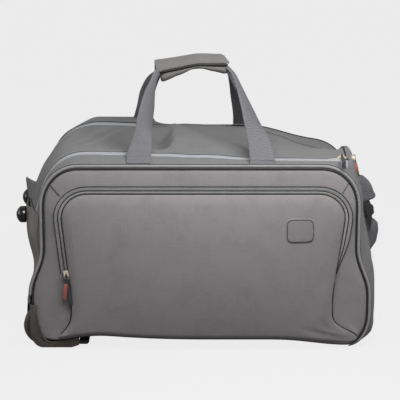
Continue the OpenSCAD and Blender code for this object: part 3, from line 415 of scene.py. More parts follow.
# The cloth is cut out under the flange of the pull handle's bezel, 3 mm inside its rim
bezel_rim, right_end_x, right_foot_top = Vector((3, 3, 3)), 250, 120
bezel_lo, bezel_hi = [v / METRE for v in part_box("trolley_bezel")]
hole_lo, hole_hi = bezel_lo + bezel_rim, bezel_hi - bezel_rim
for way in ((0, 1, 0), (0, 0, 1)):
    for spot in (hole_lo, hole_hi):
        middles = [(f, f.calc_center_median()) for f in bm.faces]
        near = [f for f, at in middles if at.x > right_end_x and at.z < right_foot_top]
        parts = near + list({e for f in near for e in f.edges}) + list({v for f in near for v in f.verts})
        bmesh.ops.bisect_plane(bm, geom=parts, dist=1e-4, plane_co=spot, plane_no=way)
# So it is behind the wheel housings, 2 mm inside their edges, and where the lid lies
housing_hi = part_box("wheel_housing_front")[1]
wheel_x, wheel_z, wheel_depth = housing_hi.x / METRE - 2, housing_hi.z / METRE - 2, 43
cut_faces = []
for face in bm.faces:
    spot = face.calc_center_median()
    in_bezel = spot.x > right_end_x and hole_lo.y < spot.y < hole_hi.y and hole_lo.z < spot.z < hole_hi.z
    under_lid = spot.x < lid_right_x and (spot.z > 250 or (spot.x < -150 and spot.z > hinge_z))
    inside = min(spot.y - seam_front, seam_rear - spot.y)
    at_wheel = spot.x < wheel_x and spot.z < wheel_z and inside < wheel_depth
    if at_wheel or in_bezel or (under_lid and lid_front < spot.y < lid_rear):
        cut_faces.append(face)
bmesh.ops.delete(bm, geom=cut_faces, context="FACES")
finish_piece("body_strip", bm, [body_cloth, lining], "bag", "body_fabric", ["gusset_shell"], wall=2.4,
             inside=bag_middle)

# Lid
# The part of the ring inside the zip. It hinges on the cloth at the left end and lies slack on top,
# with a dip beside the left strap.
lid_gap = 0.8
rows = [body_row(y)[LID_FIRST:LID_LAST + 1] for y in spread(lid_front + lid_gap, lid_rear - lid_gap, 34)]
sheet("lid_cloth", rows, [body_cloth, lining], "lid", "body_fabric", ["lid_panel"], wall=2.2,
      inside=bag_middle)

# Front and rear panels
# Padded panels of a warmer grey cloth over foam, sewn in at the piping. They crown out from the seams,
# and the front one carries a full-width pocket whose foot flares into the lower corners.
panel_cloth = woven("woven_polyester_warm_grey", "#777475", "#6b6869")
# Rows at a panel's edge, as insets from the seam and heights above it, and the height it levels out at
panel_edge, panel_rise = [(1.5, 0), (1.5, 2.5), (3.2, 5)], 12
# The pocket: its top, the radius of its upper corners, its reach to the right and left, and its waist
pocket_top, pocket_corner, pocket_right, pocket_left, waist_z = 259, 40, 229, 219, 95
pocket_bend_z = pocket_top - pocket_corner
pocket_inside = (0, 0, 140)
zip_band = 13


def pocket_edge(z, side, grow, flare):
    """The pocket's edge at one height: full top, drawn-in waist, foot flared out as far as the seam."""
    waist, top, reach, sharp = (211, pocket_right, 100, 2.8) if side > 0 else (205, pocket_left, 35, 2.2)
    if z > waist_z:
        return side * (waist + (top - waist) * (z - waist_z) / (pocket_bend_z - waist_z) + grow), z
    foot = waist + flare * reach * max(0, (64 - z) / 50) ** sharp + grow
    fall = (right_foot[1] - z) / right_foot_radii[1]
    seam = right_foot[0] - 5 + right_foot_radii[0] * sqrt(max(0, 1 - fall ** 2))
    return side * min(foot, seam), z


def pocket_ring(grow=0, left_flare=1, right_flare=1):
    """The pocket's outline, point for point beside the seam's, moved out by grow, its foot flared or not."""

    def bottom(x):
        return seam_floor(x) + 6 - grow / 3

    foot_z = right_foot[1]
    left_z = spread(pocket_bend_z, foot_z, SIDE)[1:-1] + spread(foot_z, bottom(-232), CORNER)
    right_z = spread(bottom(256), foot_z, CORNER) + spread(foot_z, pocket_bend_z, SIDE)[1:-1]
    left = [pocket_edge(z, -1, grow, left_flare) for z in left_z]
    right = [pocket_edge(z, 1, grow, right_flare) for z in right_z]
    right_x, left_x = pocket_right - pocket_corner, pocket_corner - pocket_left
    radii = (pocket_corner,) * 2
    return (
        [(x, bottom(x)) for x in spread(left[-1][0], right[0][0], FLOOR)[:-1]]
        + right
        + arc((right_x, pocket_bend_z), radii, 0, 90, SHOULDER, grow)
        + [(x, pocket_top + grow) for x in spread(right_x, left_x, TOP)[1:-1]]
        + arc((left_x, pocket_bend_z), radii, 90, 180, SHOULDER, grow)
        + left[:-1]
    )


def dome(x, z):
    """Share of the full crown at a place on a stuffed panel: 1 in the middle, 0 along the pocket's edge."""
    wide, high = (x - 5) / 240, (z - 132) / 128
    return max(0, 1 - abs(wide) ** 2.6) * max(0, 1 - abs(high) ** (2.8 if high > 0 else 2))


def towards_middle(ring, t, half=130, height=140):
    """Draws a ring in towards a level line through its middle."""
    return [(x + (min(half, max(-half, x)) - x) * t, z + (height - z) * t) for x, z in ring]


def panel_slope(t):
    """Height of a panel from the end of its edge rows, t = 0, to the pocket's zip, t = 1."""
    start = panel_edge[-1][1]
    return start + (panel_rise - start) * t ** 0.6


def panel_rows(front):
    """Rows of a panel from its seam to its middle, each at its own height above the seam plane."""
    seam, pocket = seam_ring(-panel_edge[-1][0]), pocket_ring(zip_band, 0.6, 1)
    rings = [(seam_ring(-inset), rise) for inset, rise in panel_edge]
    rings += [(mix(seam, pocket, t), panel_slope(t)) for t in (0.15, 0.35, 0.6, 0.85, 1)]
    square = pocket_ring(zip_band, 0, 0)
    rings += [(towards_middle(square, t), panel_rise) for t in (0.1, 0.25, 0.45, 0.65, 0.85, 0.97)]
    if front:
        return [[(x, seam_front - rise, z) for x, z in ring] for ring, rise in rings]
    crown = 8
    rows = []
    for ring, rise in rings:
        rows.append([(x, seam_rear + rise + crown * dome(x, z), z - sag(x, seam_rear, z)) for x, z in ring])
    return rows


for name, front in (("front_panel", True), ("rear_panel", False)):
    piece = cushion(name + "_cloth", panel_rows(front), [panel_cloth, lining], "bag", "panel_fabric", [name],
                    wall=2.0, inside=bag_middle)

# Front pocket
# A padded pocket panel that stands a few millimetres proud of the front, rounded over at its edge.
# Its lower right corner lies flatter, where it runs out into the seam.
pocket_base = seam_front - panel_rise
pocket_edge_rows = [(0, -1.5), (0, 1.8), (1.5, 3.8), (5, 5.4), (12, 7)]
edge_width, pocket_rise = pocket_edge_rows[-1]
pocket_crown = 17
rings = [(pocket_ring(-inset), rise) for inset, rise in pocket_edge_rows]
for t in (0.05, 0.13, 0.22, 0.32, 0.44, 0.56, 0.68, 0.8, 0.9, 0.97):
    flare = ease(1, 0, t / 0.13)
    rings.append((towards_middle(pocket_ring(-edge_width, flare, flare), t), pocket_rise))
rows = []
for ring, rise in rings:
    thin = [1 - 0.75 * fade(x, 185, 40) * ease(1, 0, (z - 25) / 45) for x, z in ring]
    rows.append([(x, pocket_base - rise * f - pocket_crown * dome(x, z), z) for (x, z), f in zip(ring, thin)])
piece = cushion("pocket_cloth", rows, panel_cloth, "bag", "panel_fabric", ["pocket_panel"], wall=2.0,
                inside=pocket_inside)

# Piping
# Cloth-covered cord sewn into both seams. A thin black cord in the crease on its inner side paints the
# shadow there as the dark line that frames the panel, and a finer one paints the shade in the ditch beside
# the strip.
piping_cloth = woven("woven_piping_mid_grey", "#7e7d7d", "#6e6d6d", pitch_mm=1.6, relief=0.25)


def moulded(name, tone, grain, roughness=0.45, relief=0.15, metallic=0.0, coat=0.0):
    """Injection moulding with a fine spark-eroded grain, drawn a little coarse so that it shows."""
    made, tree = start_material(name)
    place = add(tree, "TexCoord").outputs["Object"]
    grit = speckle(tree, place, 1 / (0.9 * METRE), 2.0)
    patches = speckle(tree, place, 60.0, 5.0)
    rough = add(tree, "MapRange", {"Value": patches, "To Min": roughness - 0.07, "To Max": roughness + 0.1})
    bump = add(tree, "Bump", {"Strength": relief, "Distance": 0.0003, "Height": grit})
    end_material(tree, {
        "Base Color": two_tone(tree, patches, (0.3, grain), (0.75, tone)), "Metallic": metallic,
        "Roughness": rough.outputs["Result"], "Coat Weight": coat, "Normal": bump.outputs["Normal"]})
    return made


# Black for the zip coils and stitches, and for the cords that paint shade in creases and gaps
black_cord_and_shade = moulded("black_cord_and_painted_shade", "#1d1b1c", "#141213", roughness=0.6)


def heading(path, i):
    """Which way a line of points runs at one of them."""
    return Vector(path[min(i + 1, len(path) - 1)]) - Vector(path[max(i - 1, 0)])


def tube(bm, path, radius, sides=6, side_dir=(0, 1, 0)):
    """A round cord along path, with closed ends."""
    rows = []
    for i, spot in enumerate(path):
        side = Vector(side_dir)
        lift = heading(path, i).normalized().cross(side)
        turns = spread(0, 2 * pi, sides)[:-1]
        rows.append([tuple(Vector(spot) + (side * cos(a) + lift * sin(a)) * radius) for a in turns])
    first = set(bm.edges)
    loft(bm, rows)
    ends = [e for e in bm.edges if e not in first and e.is_boundary]
    bmesh.ops.holes_fill(bm, edges=ends, sides=sides)


PIPE_FIRST, PIPE_LAST = 3, len(seam_ring()) - CORNER
for name, plane, way in (("front_piping", seam_front, -1), ("rear_piping", seam_rear, 1)):
    bm = bmesh.new()
    cord = []
    for i, (x, z) in list(enumerate(seam_ring(2.4)))[PIPE_FIRST:PIPE_LAST]:
        tuck = ease(1, 0, (i - FLOOR + 2) / 4)
        cord.append((x, plane + way * (3.2 - 5 * tuck), z + 4 * tuck - sag(x, plane, z)))
    tube(bm, cord, radius=2.8, sides=10)
    finish_piece(name + "_cord", bm, piping_cloth, "bag", "piping", [name])
    # Black cords paint the shadow in the crease inside the piping and the shade in the ditch beside the strip
    bm = bmesh.new()
    crease = seam_ring(-1.6)
    painted_shadow_line = [(x, plane + way * 5.0, z - sag(x, plane, z)) for x, z in crease + crease[:1]]
    tube(bm, painted_shadow_line, radius=1.9, sides=8)
    ditch = seam_ring(4.9)[FLOOR:PIPE_LAST]
    tube(bm, [(x, plane + way * 0.6, z - sag(x, plane, z)) for x, z in ditch], radius=0.9)
    finish_piece(name + "_crease", bm, black_cord_and_shade, "bag", "piping")

# Pocket zip
# A coil zip behind a pale welt: outside is the sewn-down tape, then the coil, then the welt that
# stands beside the pocket's edge. Below the zip the pocket is closed by a plain seam. Its black line,
# like those along the zip's edges, also paints the shade in the crease at the pocket's edge.
# Painted highlight: a paler copy of the tape, for the faces of the main zip's tapes that bulge towards the
# light
tape_painted_highlight = woven("zip_tape_painted_highlight", "#949699", "#84868a", pitch_mm=1.6, relief=0.25)
zip_tape = woven("zip_tape_mid_grey", "#7a7a7a", "#666667", pitch_mm=1.6, relief=0.3)
welt_cloth = woven("welt_cloth_pale_grey", "#848482", "#747472", pitch_mm=1.6, relief=0.25)
pocket_line = pocket_ring()
zip_end_right, zip_end_left = 124, 122
zip_places = [i for i, (x, z) in enumerate(pocket_line) if z > (zip_end_right if x > 0 else zip_end_left)]


def zip_line(grow):
    """A line beside the zip, grow outside the pocket's edge; at the right the zip runs out to a point."""
    line = []
    for i in zip_places:
        x, z = pocket_line[i]
        share = ease(0.12, 1, (z - zip_end_right) / 62) if x > 0 else 1
        line.append(pocket_ring(grow * share)[i])
    return line


for name, outer, inner, bulge, cloth, nodes in (
    ("pocket_zip_tape", 12.4, 6.4, 0.5, zip_tape, ["pocket_zip_chain"]),
    ("pocket_zip_welt", 6.0, 1.2, 1.0, welt_cloth, []),
):
    rows, back = [], pocket_base - 0.7
    for (x0, z0), (x1, z1) in zip(zip_line(outer), zip_line(inner)):
        rows.append([(x0 + (x1 - x0) * t, back - 4 * bulge * t * (1 - t), z0 + (z1 - z0) * t)
                     for t in (0, 0.08, 0.3, 0.5, 0.7, 0.92, 1)])
    sheet(name, rows, cloth, "bag", "zip_tape", nodes, wall=0.8, inside=pocket_inside)

# Dark lines: the coil, the zip's edges, the seams below it and two short ones at the upper corners.
# The lines at the zip's edges and along the seams below it also paint the shade in the creases there.
bm = bmesh.new()
for grow, radius in ((12.9, 0.7), (6.3, 0.9), (0.7, 1.0)):
    tube(bm, [(x, pocket_base - 1.4, z) for x, z in zip_line(grow)], radius)
spots = list(enumerate(pocket_line))
low_left = [i for i, (x, z) in spots if x < 0 and 15 < z <= zip_end_left + 2 and i > len(spots) // 2]
low_right = [i for i, (x, z) in spots if x > 0 and z <= zip_end_right + 2 and i >= FLOOR]
low_line = pocket_ring(0.9)
for places in (low_left, low_right):
    tube(bm, [(low_line[i][0], pocket_base - 1.2, low_line[i][1]) for i in places], radius=1.0)
for (x0, z0), (x1, z1) in (((235, 277), (224, 260)), ((-237, 274), (-221, 256))):
    line = []
    for t in spread(0, 1, 6):
        line.append((x0 + (x1 - x0) * t, seam_front - 0.3 - panel_slope(t), z0 + (z1 - z0) * t))
    tube(bm, line, radius=0.7)
finish_piece("front_seam_and_shade_lines", bm, black_cord_and_shade, "bag", "panel_fabric")

# Main zip
# The coil zip that frees the lid on three sides. Its body tapes are sewn to the strips and its lid tapes
# to the lid. The black coil closes the gap between them, painting the shade in that gap as well, and runs on
# along the lid's right edge.
tape_width, lid_tape_width, coil_radius = 14, 9, 1.3


def tape_rows(y_edge, y_far, lift=0.9):
    """Rows across a tape that follows the body's surface from one depth to another."""
    rows = []
    for t in (0, 0.06, 0.5, 0.94, 1):
        row = body_row(y_edge + (y_far - y_edge) * t)
        bow = lift * (0.2 if t in (0, 1) else 1)
        line = []
        for i in range(LID_FIRST, LID_LAST + 1):
            out = Vector((0, 1, 0)).cross(heading(row, i)).normalized()
            line.append(tuple(Vector(row[i]) + out * bow))
        rows.append(line)
    return rows


for name, body, node, edge, width in (
    ("body_zip_tape", "bag", "main_zip_chain", 0, tape_width),
    ("lid_zip_tape", "lid", "lid_zip_chain", lid_gap + 1.2, -lid_tape_width),
):
    bm = bmesh.new()
    loft(bm, tape_rows(lid_front + edge, lid_front + edge - width), closed=False)
    loft(bm, tape_rows(lid_rear - edge, lid_rear - edge + width), closed=False)
    # Painted highlight: the tape is pale in front on the body, and at the rear left on the lid, where its
    # bulge faces the light
    for face in bm.faces:
        spot = face.calc_center_median()
        pale = spot.y < mid_y if body == "bag" else spot.y > mid_y and spot.x < -95
        face.material_index = int(pale)
    finish_piece(name, bm, [body_cloth, tape_painted_highlight], body, "zip_tape", [node], wall=0.7, inside=bag_middle)

# Black coils along the zip, standing also for the shade in its gap
bm = bmesh.new()
for y in (lid_front + 0.6, lid_rear - 0.6):
    tube(bm, body_row(y)[LID_FIRST:LID_LAST + 1], coil_radius)
right_edge = [body_row(y)[LID_FIRST] for y in spread(lid_front, lid_rear, 24)]
tube(bm, right_edge, coil_radius, side_dir=(0, 0, 1))
finish_piece("main_zip_coil", bm, black_cord_and_shade, "lid", "zip_tape")

# Zip sliders and pulls
# Die-cast sliders plated pale gold run on the zips. Each carries a dark painted plate on its loop, and
# two of the plates have a narrow tab of red-orange rubber.
gold_plate = moulded("plated_zinc_pale_gold", "#ddd4c2", "#cabfa8", roughness=0.3, metallic=0.35, relief=0.05)
pull_metal = moulded("painted_zinc_dark_grey", "#3a3a3c", "#2e2e30", roughness=0.4)
tab_rubber = moulded("moulded_rubber_red_orange", "#935347", "#874131", roughness=0.6)
bevel = {"affect": "EDGES", "segments": 2, "profile": 0.5, "material": -1}


def softened(node, body, material, slot, edge=0.6, hang=0, loop=None):
    """The moulding of a CAD node with its corners rounded, in place of the sharp solid.
    A pull can hang lower than its solid by hang degrees, turned about its slider's loop."""
    solid = bpy.data.objects[node]
    bm = bmesh.new()
    bm.from_mesh(solid.data)
    bmesh.ops.transform(bm, matrix=solid.matrix_world, verts=bm.verts)
    bmesh.ops.remove_doubles(bm, verts=bm.verts, dist=1e-5)
    bmesh.ops.dissolve_limit(bm, angle_limit=radians(2), verts=bm.verts, edges=bm.edges)
    sharp = [e for e in bm.edges if len(e.link_faces) == 2 and e.calc_face_angle(0) > radians(35)]
    bmesh.ops.bevel(bm, geom=sharp, offset=edge * METRE, clamp_overlap=True, **bevel)
    bmesh.ops.scale(bm, vec=(1 / METRE,) * 3, verts=bm.verts)
    if hang:
        turn = Matrix.Rotation(radians(hang), 3, "Y")
        bmesh.ops.rotate(bm, cent=loop, matrix=turn, verts=bm.verts)
    piece = finish_piece(node + "_skin", bm, material, body, slot, [node], levels=0)
    piece.data.set_sharp_from_angle(angle=radians(40))


end_loop = Vector((247.7, -81, 305.1))
for where, slider_body, pull_body, hang in (
    ("main_{}_front", "zip_slider_front", "zip_pull_front", 0),
    ("main_{}_end", "zip_slider_end", "zip_pull_end", 33),
    ("pocket_{}", "pocket_zip_slider", "pocket_zip_pull", 0),
):
    softened(where.format("slider"), slider_body, gold_plate, "slider_metal", edge=0.5)
    softened(where.format("pull"), pull_body, pull_metal, "pull_dark", edge=0.4, hang=hang, loop=end_loop)

# Each tab is a slip of red rubber beside the free end of its pull
tab_width, tab_thickness = 5.6, 1.6
for name, body, pull, shift, length, lean in (
    ("pocket_tab", "pocket_zip_pull", "pocket_pull", (-5.5, -2.5, -3), 26, 6),
    ("main_tab_end", "zip_pull_end", "main_pull_end", (-8.6, -4, -8), 16, -12),
):
    low, high = [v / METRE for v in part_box(pull)]
    bm = bmesh.new()
    bmesh.ops.create_cube(bm, size=1)
    bmesh.ops.scale(bm, vec=(tab_width, tab_thickness, length), verts=bm.verts)
    bmesh.ops.bevel(bm, geom=bm.edges[:], offset=0.7, **bevel)
    bmesh.ops.rotate(bm, matrix=Matrix.Rotation(radians(lean), 3, "Y"), verts=bm.verts)
    bmesh.ops.translate(bm, vec=(low + high) / 2 + Vector(shift), verts=bm.verts)
    finish_piece(name, bm, tab_rubber, body, "pull_dark", levels=0)

# Carry straps
# Two flat webbing straps sewn to the strips. Each leg folds lengthwise and turns edge-on as it rises,
# so that the two grips fit side by side in the wrap.
strap_width, strap_wall = 40, 2.4
strap_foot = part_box("front_strap")[0] / METRE
strap_lean = radians(43.56)
# Along each strap: where its middle lies, how far it has risen from its foot, and how wide it looks
front_strap_line = [
    (-97, -7, 40), (-97, 5, 39), (-93, 26, 34), (-87, 60, 25), (-80, 100, 18), (-74, 138, 12), (-68, 156, 12),
    (-54, 166, 12), (-25, 170, 12), (0, 172, 12), (22, 173, 12), (41, 170, 12), (51, 160, 11), (59, 146, 13),
    (76, 100, 22), (86.5, 60, 31), (94, 26, 36), (97.6, 5, 40), (98, -7, 40),
]
rear_strap_line = [
    (-97, -5, 37), (-97, 4, 36), (-95, 30, 31), (-90, 62, 23), (-81.5, 100, 14), (-69, 136, 8), (-61, 154, 8),
    (-54, 164, 12), (-25, 168, 12), (0, 170, 12), (22, 170, 12), (38, 166, 12), (46, 154, 12), (51, 138, 13),
    (61, 100, 20), (67, 60, 27), (73, 24, 34), (75, 4, 37), (75, -5, 37),
]


def ribbed(name, thread, groove):
    """Heavy webbing with ribs across it; the ribs are drawn about twice their real size to show."""
    made, tree = start_material(name)
    rib_mm = 3.0
    cloth = add(tree, "TexCoord").outputs["UV"]
    bands = {"Vector": cloth, "Scale": waves(rib_mm), "Distortion": 0.6}
    ribs = add(tree, "TexWave", bands, bands_direction="Y").outputs["Fac"]
    yarn = speckle(tree, cloth, 420.0, 3.0)
    light = add(tree, "Math", {0: ribs, 1: 0.7, 2: yarn}, operation="MULTIPLY_ADD").outputs[0]
    bump = add(tree, "Bump", {"Strength": 0.5, "Distance": 0.0006, "Height": ribs})
    end_material(tree, {
        "Base Color": two_tone(tree, light, (0.4, groove), (1.0, thread)), "Roughness": 0.7,
        "Normal": bump.outputs["Normal"], "Sheen Weight": 0.1, "Specular IOR Level": 0.3})
    return made


webbing = ribbed("ribbed_webbing_cool_grey", "#68686c", "#4c4c50")
# Painted shade: a near-black copy of the webbing for the inside of the grab loop and the shadow between its
# lobes
painted_shade_webbing = ribbed("ribbed_webbing_painted_shade", "#2e2e30", "#222224")


def smooth_path(points, steps):
    """A rounded line through given points."""
    made = []
    spots = [Vector(p) for p in points]
    spots = [spots[0] * 2 - spots[1]] + spots + [spots[-1] * 2 - spots[-2]]
    for a, b, c, d in zip(spots, spots[1:], spots[2:], spots[3:]):
        for t in spread(0, 1, steps)[:-1]:
            made.append((b * 2 + (c - a) * t + (a * 2 - b * 5 + c * 4 - d) * t ** 2
                         + (b * 3 - a - c * 3 + d) * t ** 3) / 2)
    return made + [spots[-2]]


def strap_rows(strap_line):
    """Rows across a strap: flat at its feet, cupped and turned edge-on towards the grip."""
    line = smooth_path(strap_line, 4)
    up = Vector((0, sin(strap_lean), cos(strap_lean)))
    face = Vector((0, -cos(strap_lean), sin(strap_lean)))
    deepest_cup = 6
    rows = []
    for i, (x, rise, shown) in enumerate(line):
        ahead = heading(line, i).xy.normalized()
        side = (Vector((ahead.x, 0, 0)) + up * ahead.y).cross(face)
        turn = acos(min(1, max(0.1, shown / strap_width))) * fade(rise, 25, 45)
        cup = deepest_cup * sin(turn)
        gathered = ease(1, 0.45, (rise - 100) / 50) * shown / (strap_width * cos(turn))
        turn *= 1 if i < len(line) / 2 else -1
        spot = Vector((x, strap_foot.y + 1, strap_foot.z + 1)) + up * rise
        row = []
        for t in spread(-1, 1, 8):
            flat, bend = strap_width / 2 * t * gathered, cup * (0.5 - t * t)
            across = flat * cos(turn) + bend * sin(turn)
            out = bend * cos(turn) - flat * sin(turn)
            row.append(tuple(spot + side * across + face * out))
        rows.append(row)
    return rows


for name, body, line in (
    ("front_strap", "front_handle", front_strap_line),
    ("rear_strap", "rear_handle", rear_strap_line),
):
    rows = strap_rows(line)
    if line is rear_strap_line:
        rows = [[(x, 2 * mid_y - y, z) for x, y, z in row] for row in rows]
    sheet(name + "_webbing", rows, webbing, body, "webbing", [name], wall=strap_wall)

# Strap ends
# The last centimetres of each strap lie flat on the top strips and are stitched down there. They rise a
# little towards the zip, where the free strap begins.


def top_spot(x, y):
    """A point on the top of the body above x, y."""
    row = body_row(y)[LID_FIRST:LID_LAST + 1]
    for a, b in zip(row, row[1:]):
        if b[0] <= x <= a[0]:
            t = (a[0] - x) / (a[0] - b[0])
            return (x, y, a[2] + (b[2] - a[2]) * t)
    return (x, y, seam_top)


bm = bmesh.new()
front_end = (seam_front + 1.5, strap_foot.y + 2)
rear_end = [2 * mid_y - y for y in front_end]
for foot, (first, last) in (
    (front_strap_line[0], front_end), (front_strap_line[-1], front_end),
    (rear_strap_line[0], rear_end), (rear_strap_line[-1], rear_end),
):
    rows = []
    for y in spread(first, last, 6):
        lift = Vector((0, 0, ease(1.6, 4.6, (y - first) / (last - first))))
        places = spread(foot[0] - strap_width / 2, foot[0] + strap_width / 2, 6)
        rows.append([tuple(Vector(top_spot(x, y)) + lift) for x in places])
    loft(bm, rows, closed=False)
finish_piece("strap_ends", bm, webbing, "bag", "webbing", ["strap_anchors"], wall=2.2, inside=bag_middle)

# Handle wrap
# A padded cloth sleeve round both grips. Its outer flap laps over the top from the back, and the rolled
# under-layer shows below the flap's edge, pinched up in the middle where the hand has held it.
wrap_cloth = woven("wrap_cloth_grey", "#6a6866", "#5b5957", pitch_mm=2.0)
# Lines seen from the front, as x and height
flap_top = [(-76, 445), (-40, 450), (-5, 456), (38, 455), (51, 451)]
flap_edge = [(-76, 428), (-66, 431), (-5, 443.5), (51, 443.5)]
roll_foot = [(-67, 406.5), (-6, 434.5), (47, 422)]
flap_left, flap_right = -75, 49
roll_left, roll_right = -65, 46


def along(points, x):
    """Height of a given line at x."""
    for (x0, z0), (x1, z1) in zip(points, points[1:]):
        if x <= x1:
            return z0 + (z1 - z0) * (x - x0) / (x1 - x0)
    return points[-1][1]


rows = []
for x in spread(flap_left, flap_right, 24):
    top, edge = along(flap_top, x), along(flap_edge, x)
    section = [(20, top - 30), (24, top - 20), (22, top - 8), (13, top - 1.5), (0, top), (-12, top - 1.5),
               (-20, top - 5), (-23.5, edge + 4), (-24.5, edge)]
    row = []
    for y, z in section:
        down = min(1, max(0, (top - z) / (top - edge))) if y < 0 else 0
        left_cut = 6 * down * ease(1, 0, (x - flap_left) / 20)
        right_cut = 8 * (1 - down) ** 2 * ease(1, 0, (flap_right - x) / 20)
        crease = 0.5 * noise(Vector((x, y * 2, z * 2)) / 20)
        row.append((x + (left_cut - right_cut), mid_y + y, z + crease))
    rows.append(row)
piece = sheet("wrap_flap", rows, wrap_cloth, "front_handle", "wrap_fabric", ["handle_wrap"], wall=2.6,
              inside=(-12, mid_y, 430), levels=2)
bm = bmesh.new()
rows = []
for x in spread(roll_left, roll_right, 30):
    low, high = along(roll_foot, x), along(flap_edge, x) - 1.5
    middle, half = (low + high) / 2, (high - low) / 2
    ends = sqrt(max(0.3, 1 - (abs(x - (roll_left + roll_right) / 2) / 56) ** 24))
    row = []
    for a in spread(0, 2 * pi, 16)[:-1]:
        spot = Vector((x, mid_y - 7 + 15 * ends * cos(a), middle + half * ends * sin(a)))
        row.append(tuple(spot + Vector((0, 1, 1)) * 0.7 * noise(spot / 14)))
    rows.append(row)
loft(bm, rows)
bmesh.ops.holes_fill(bm, edges=[e for e in bm.edges if e.is_boundary], sides=0)
piece = finish_piece("wrap_roll", bm, wrap_cloth, "front_handle", "wrap_fabric")
# A black cord along the flap's lower edge paints the shadow in the gap between the flap and the roll
bm = bmesh.new()
flap_edge_shade_line = [(x, mid_y - 22.5, along(flap_edge, x) - 2.2) for x in spread(-66, roll_right, 20)]
tube(bm, flap_edge_shade_line, radius=2.1)
finish_piece("wrap_flap_edge_shade", bm, black_cord_and_shade, "front_handle", "wrap_fabric")

# Right grab handle
# A webbing loop sewn to the right end at its top and foot. It has collapsed into two folds instead of
# standing in a bow, with its front edge tucked against the end.
dark_webbing = ribbed("ribbed_webbing_dark_grey", "#6a6a6e", "#3c3c40")
# Its line seen from the front, as x and height
grab_line = [
    (258, 247), (274, 243), (284, 232), (290, 218), (292, 211), (280, 206), (283, 201), (291.5, 186),
    (288, 183), (277, 187), (284, 176), (296, 166), (299, 157), (296, 137), (290, 127), (279, 112),
]
rows = []
for x, z in smooth_path(grab_line, 4):
    wall_x = ease(281, 262, (z - 120) / 125)
    row = []
    for s in spread(-1, 1, 8):
        share = ease(-0.2, 1, (s + 1) / 1.3)
        spot = Vector((wall_x + (x - wall_x) * share, mid_y + s * strap_width / 2, z + 2 * s))
        row.append(tuple(spot + Vector((1.6, 0, 1.6)) * noise(spot / 9)))
    rows.append(row)
# The inside of the loop wears the painted-shade webbing, dark as if in shadow
sheet("grab_webbing", rows, [dark_webbing, painted_shade_webbing], "bag", "webbing", ["grab_handle"], wall=2.2)

# A dark sheet paints the shadow between the two lobes, where the loop's inner layer lies in shade: height,
# inner x and outer x
shade_edges = [(211, 268, 274), (207, 267, 287), (200, 270, 288), (193, 274, 288), (187, 277, 285),
              (178, 278, 285), (168, 279, 284), (160, 281, 282)]
rows = []
for z, x0, x1 in shade_edges:
    rows.append([(x0 + (x1 - x0) * t, mid_y - 22 + 3 * t * t, z) for t in spread(0, 1, 4)])
sheet("grab_painted_shade", rows, painted_shade_webbing, "bag", "webbing", wall=1.0)

# Left end patch, tab and feet
# A hard-wearing coated cloth is sewn over the left end up to the piping, with two glossy domed feet for
# standing the bag on that end. A doubled fabric tab sticks out at the lid's hinge.
patch_cloth = woven("coated_patch_brown_grey", "#746d67", "#625b56", pitch_mm=2.0)
patch_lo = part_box("left_end_patch")[0] / METRE
patch_lift, patch_margin = 1.2, 5
rows = []
places = [i for i, (x, z) in enumerate(end_ring()) if i >= LID_LAST and patch_lo.z - 6 <= z <= hinge_z]
for y in spread(seam_front + patch_margin, seam_rear - patch_margin, 34):
    row = body_row(y)
    stiff = ease(0, 1, (75 - abs(y - mid_y)) / 16)
    line = []
    for x, _, z in [row[i] for i in places]:
        stiff_x = patch_lo.x + left_waist(z, 11.5)
        line.append((x - patch_lift + (stiff_x - x + patch_lift) * stiff, y, z))
    rows.append(line)
sheet("left_patch_cloth", rows, patch_cloth, "bag", "end_patch", ["left_end_patch"], wall=1.0,
      inside=bag_middle)

# The tab's rows, each from the lid to the free edge, as x and height
tab_edges = [((-262, 246), (-291, 249)), ((-266, 236), (-290, 237)), ((-271, 222), (-288, 221)),
             ((-276, 207), (-286, 208)), ((-280, 200), (-285, 200))]
rows = []
for (x0, z0), (x1, z1) in tab_edges:
    rows.append([(x0 + (x1 - x0) * t, mid_y - 26 + 34 * t * t, z0 + (z1 - z0) * t) for t in spread(0, 1, 6)])
sheet("tab_cloth", rows, body_cloth, "lid", "webbing", ["lid_tab"], wall=2.0)

gloss_plastic = moulded("gloss_plastic_black", "#131314", "#0b0b0c", roughness=0.14, relief=0.02, coat=0.6)
softened("end_feet", "bag", gloss_plastic, "gloss_black", edge=0.8)

# Blank patch on the pocket
# A plain patch of the pocket's own cloth with nothing on it, sewn on by one dark row of stitches along
# its edge. It lies on the pocket's crowned face.
badge_lo, badge_hi = [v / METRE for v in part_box("blank_patch")]
badge_cloth = woven("patch_cloth_warm_grey", "#726f70", "#646162", pitch_mm=1.8)
badge_mid, badge_half = (badge_lo + badge_hi) / 2, (badge_hi - badge_lo) / 2


def pocket_face(x, z, proud):
    """A point in front of the pocket's crowned face."""
    return (x, pocket_base - pocket_rise - pocket_crown * dome(x, z) - proud, z)


def badge_ring(inset):
    """A rectangle with rounded corners, drawn in by inset."""
    wide, high, sharp = badge_half.x - inset, badge_half.z - inset, 0.4
    ring = []
    for a in spread(0, 2 * pi, 40)[:-1]:
        c, d = cos(a), sin(a)
        ring.append((badge_mid.x + wide * copysign(abs(c) ** sharp, c),
                     badge_mid.z + high * copysign(abs(d) ** sharp, d)))
    return ring


rows = [[pocket_face(x, z, proud) for x, z in badge_ring(inset)]
        for inset, proud in ((0, -0.3), (0.3, 0.9), (3, 1.4), (9, 1.3), (15, 1.3), (19, 1.3))]
cushion("blank_patch_cloth", rows, badge_cloth, "bag", "patch", ["blank_patch"], inside=pocket_inside)
bm = bmesh.new()
stitch = [pocket_face(x, z, 1.4) for x, z in badge_ring(2.4)]
tube(bm, stitch + stitch[:1], radius=0.6)
finish_piece("blank_patch_stitch", bm, black_cord_and_shade, "bag", "patch")

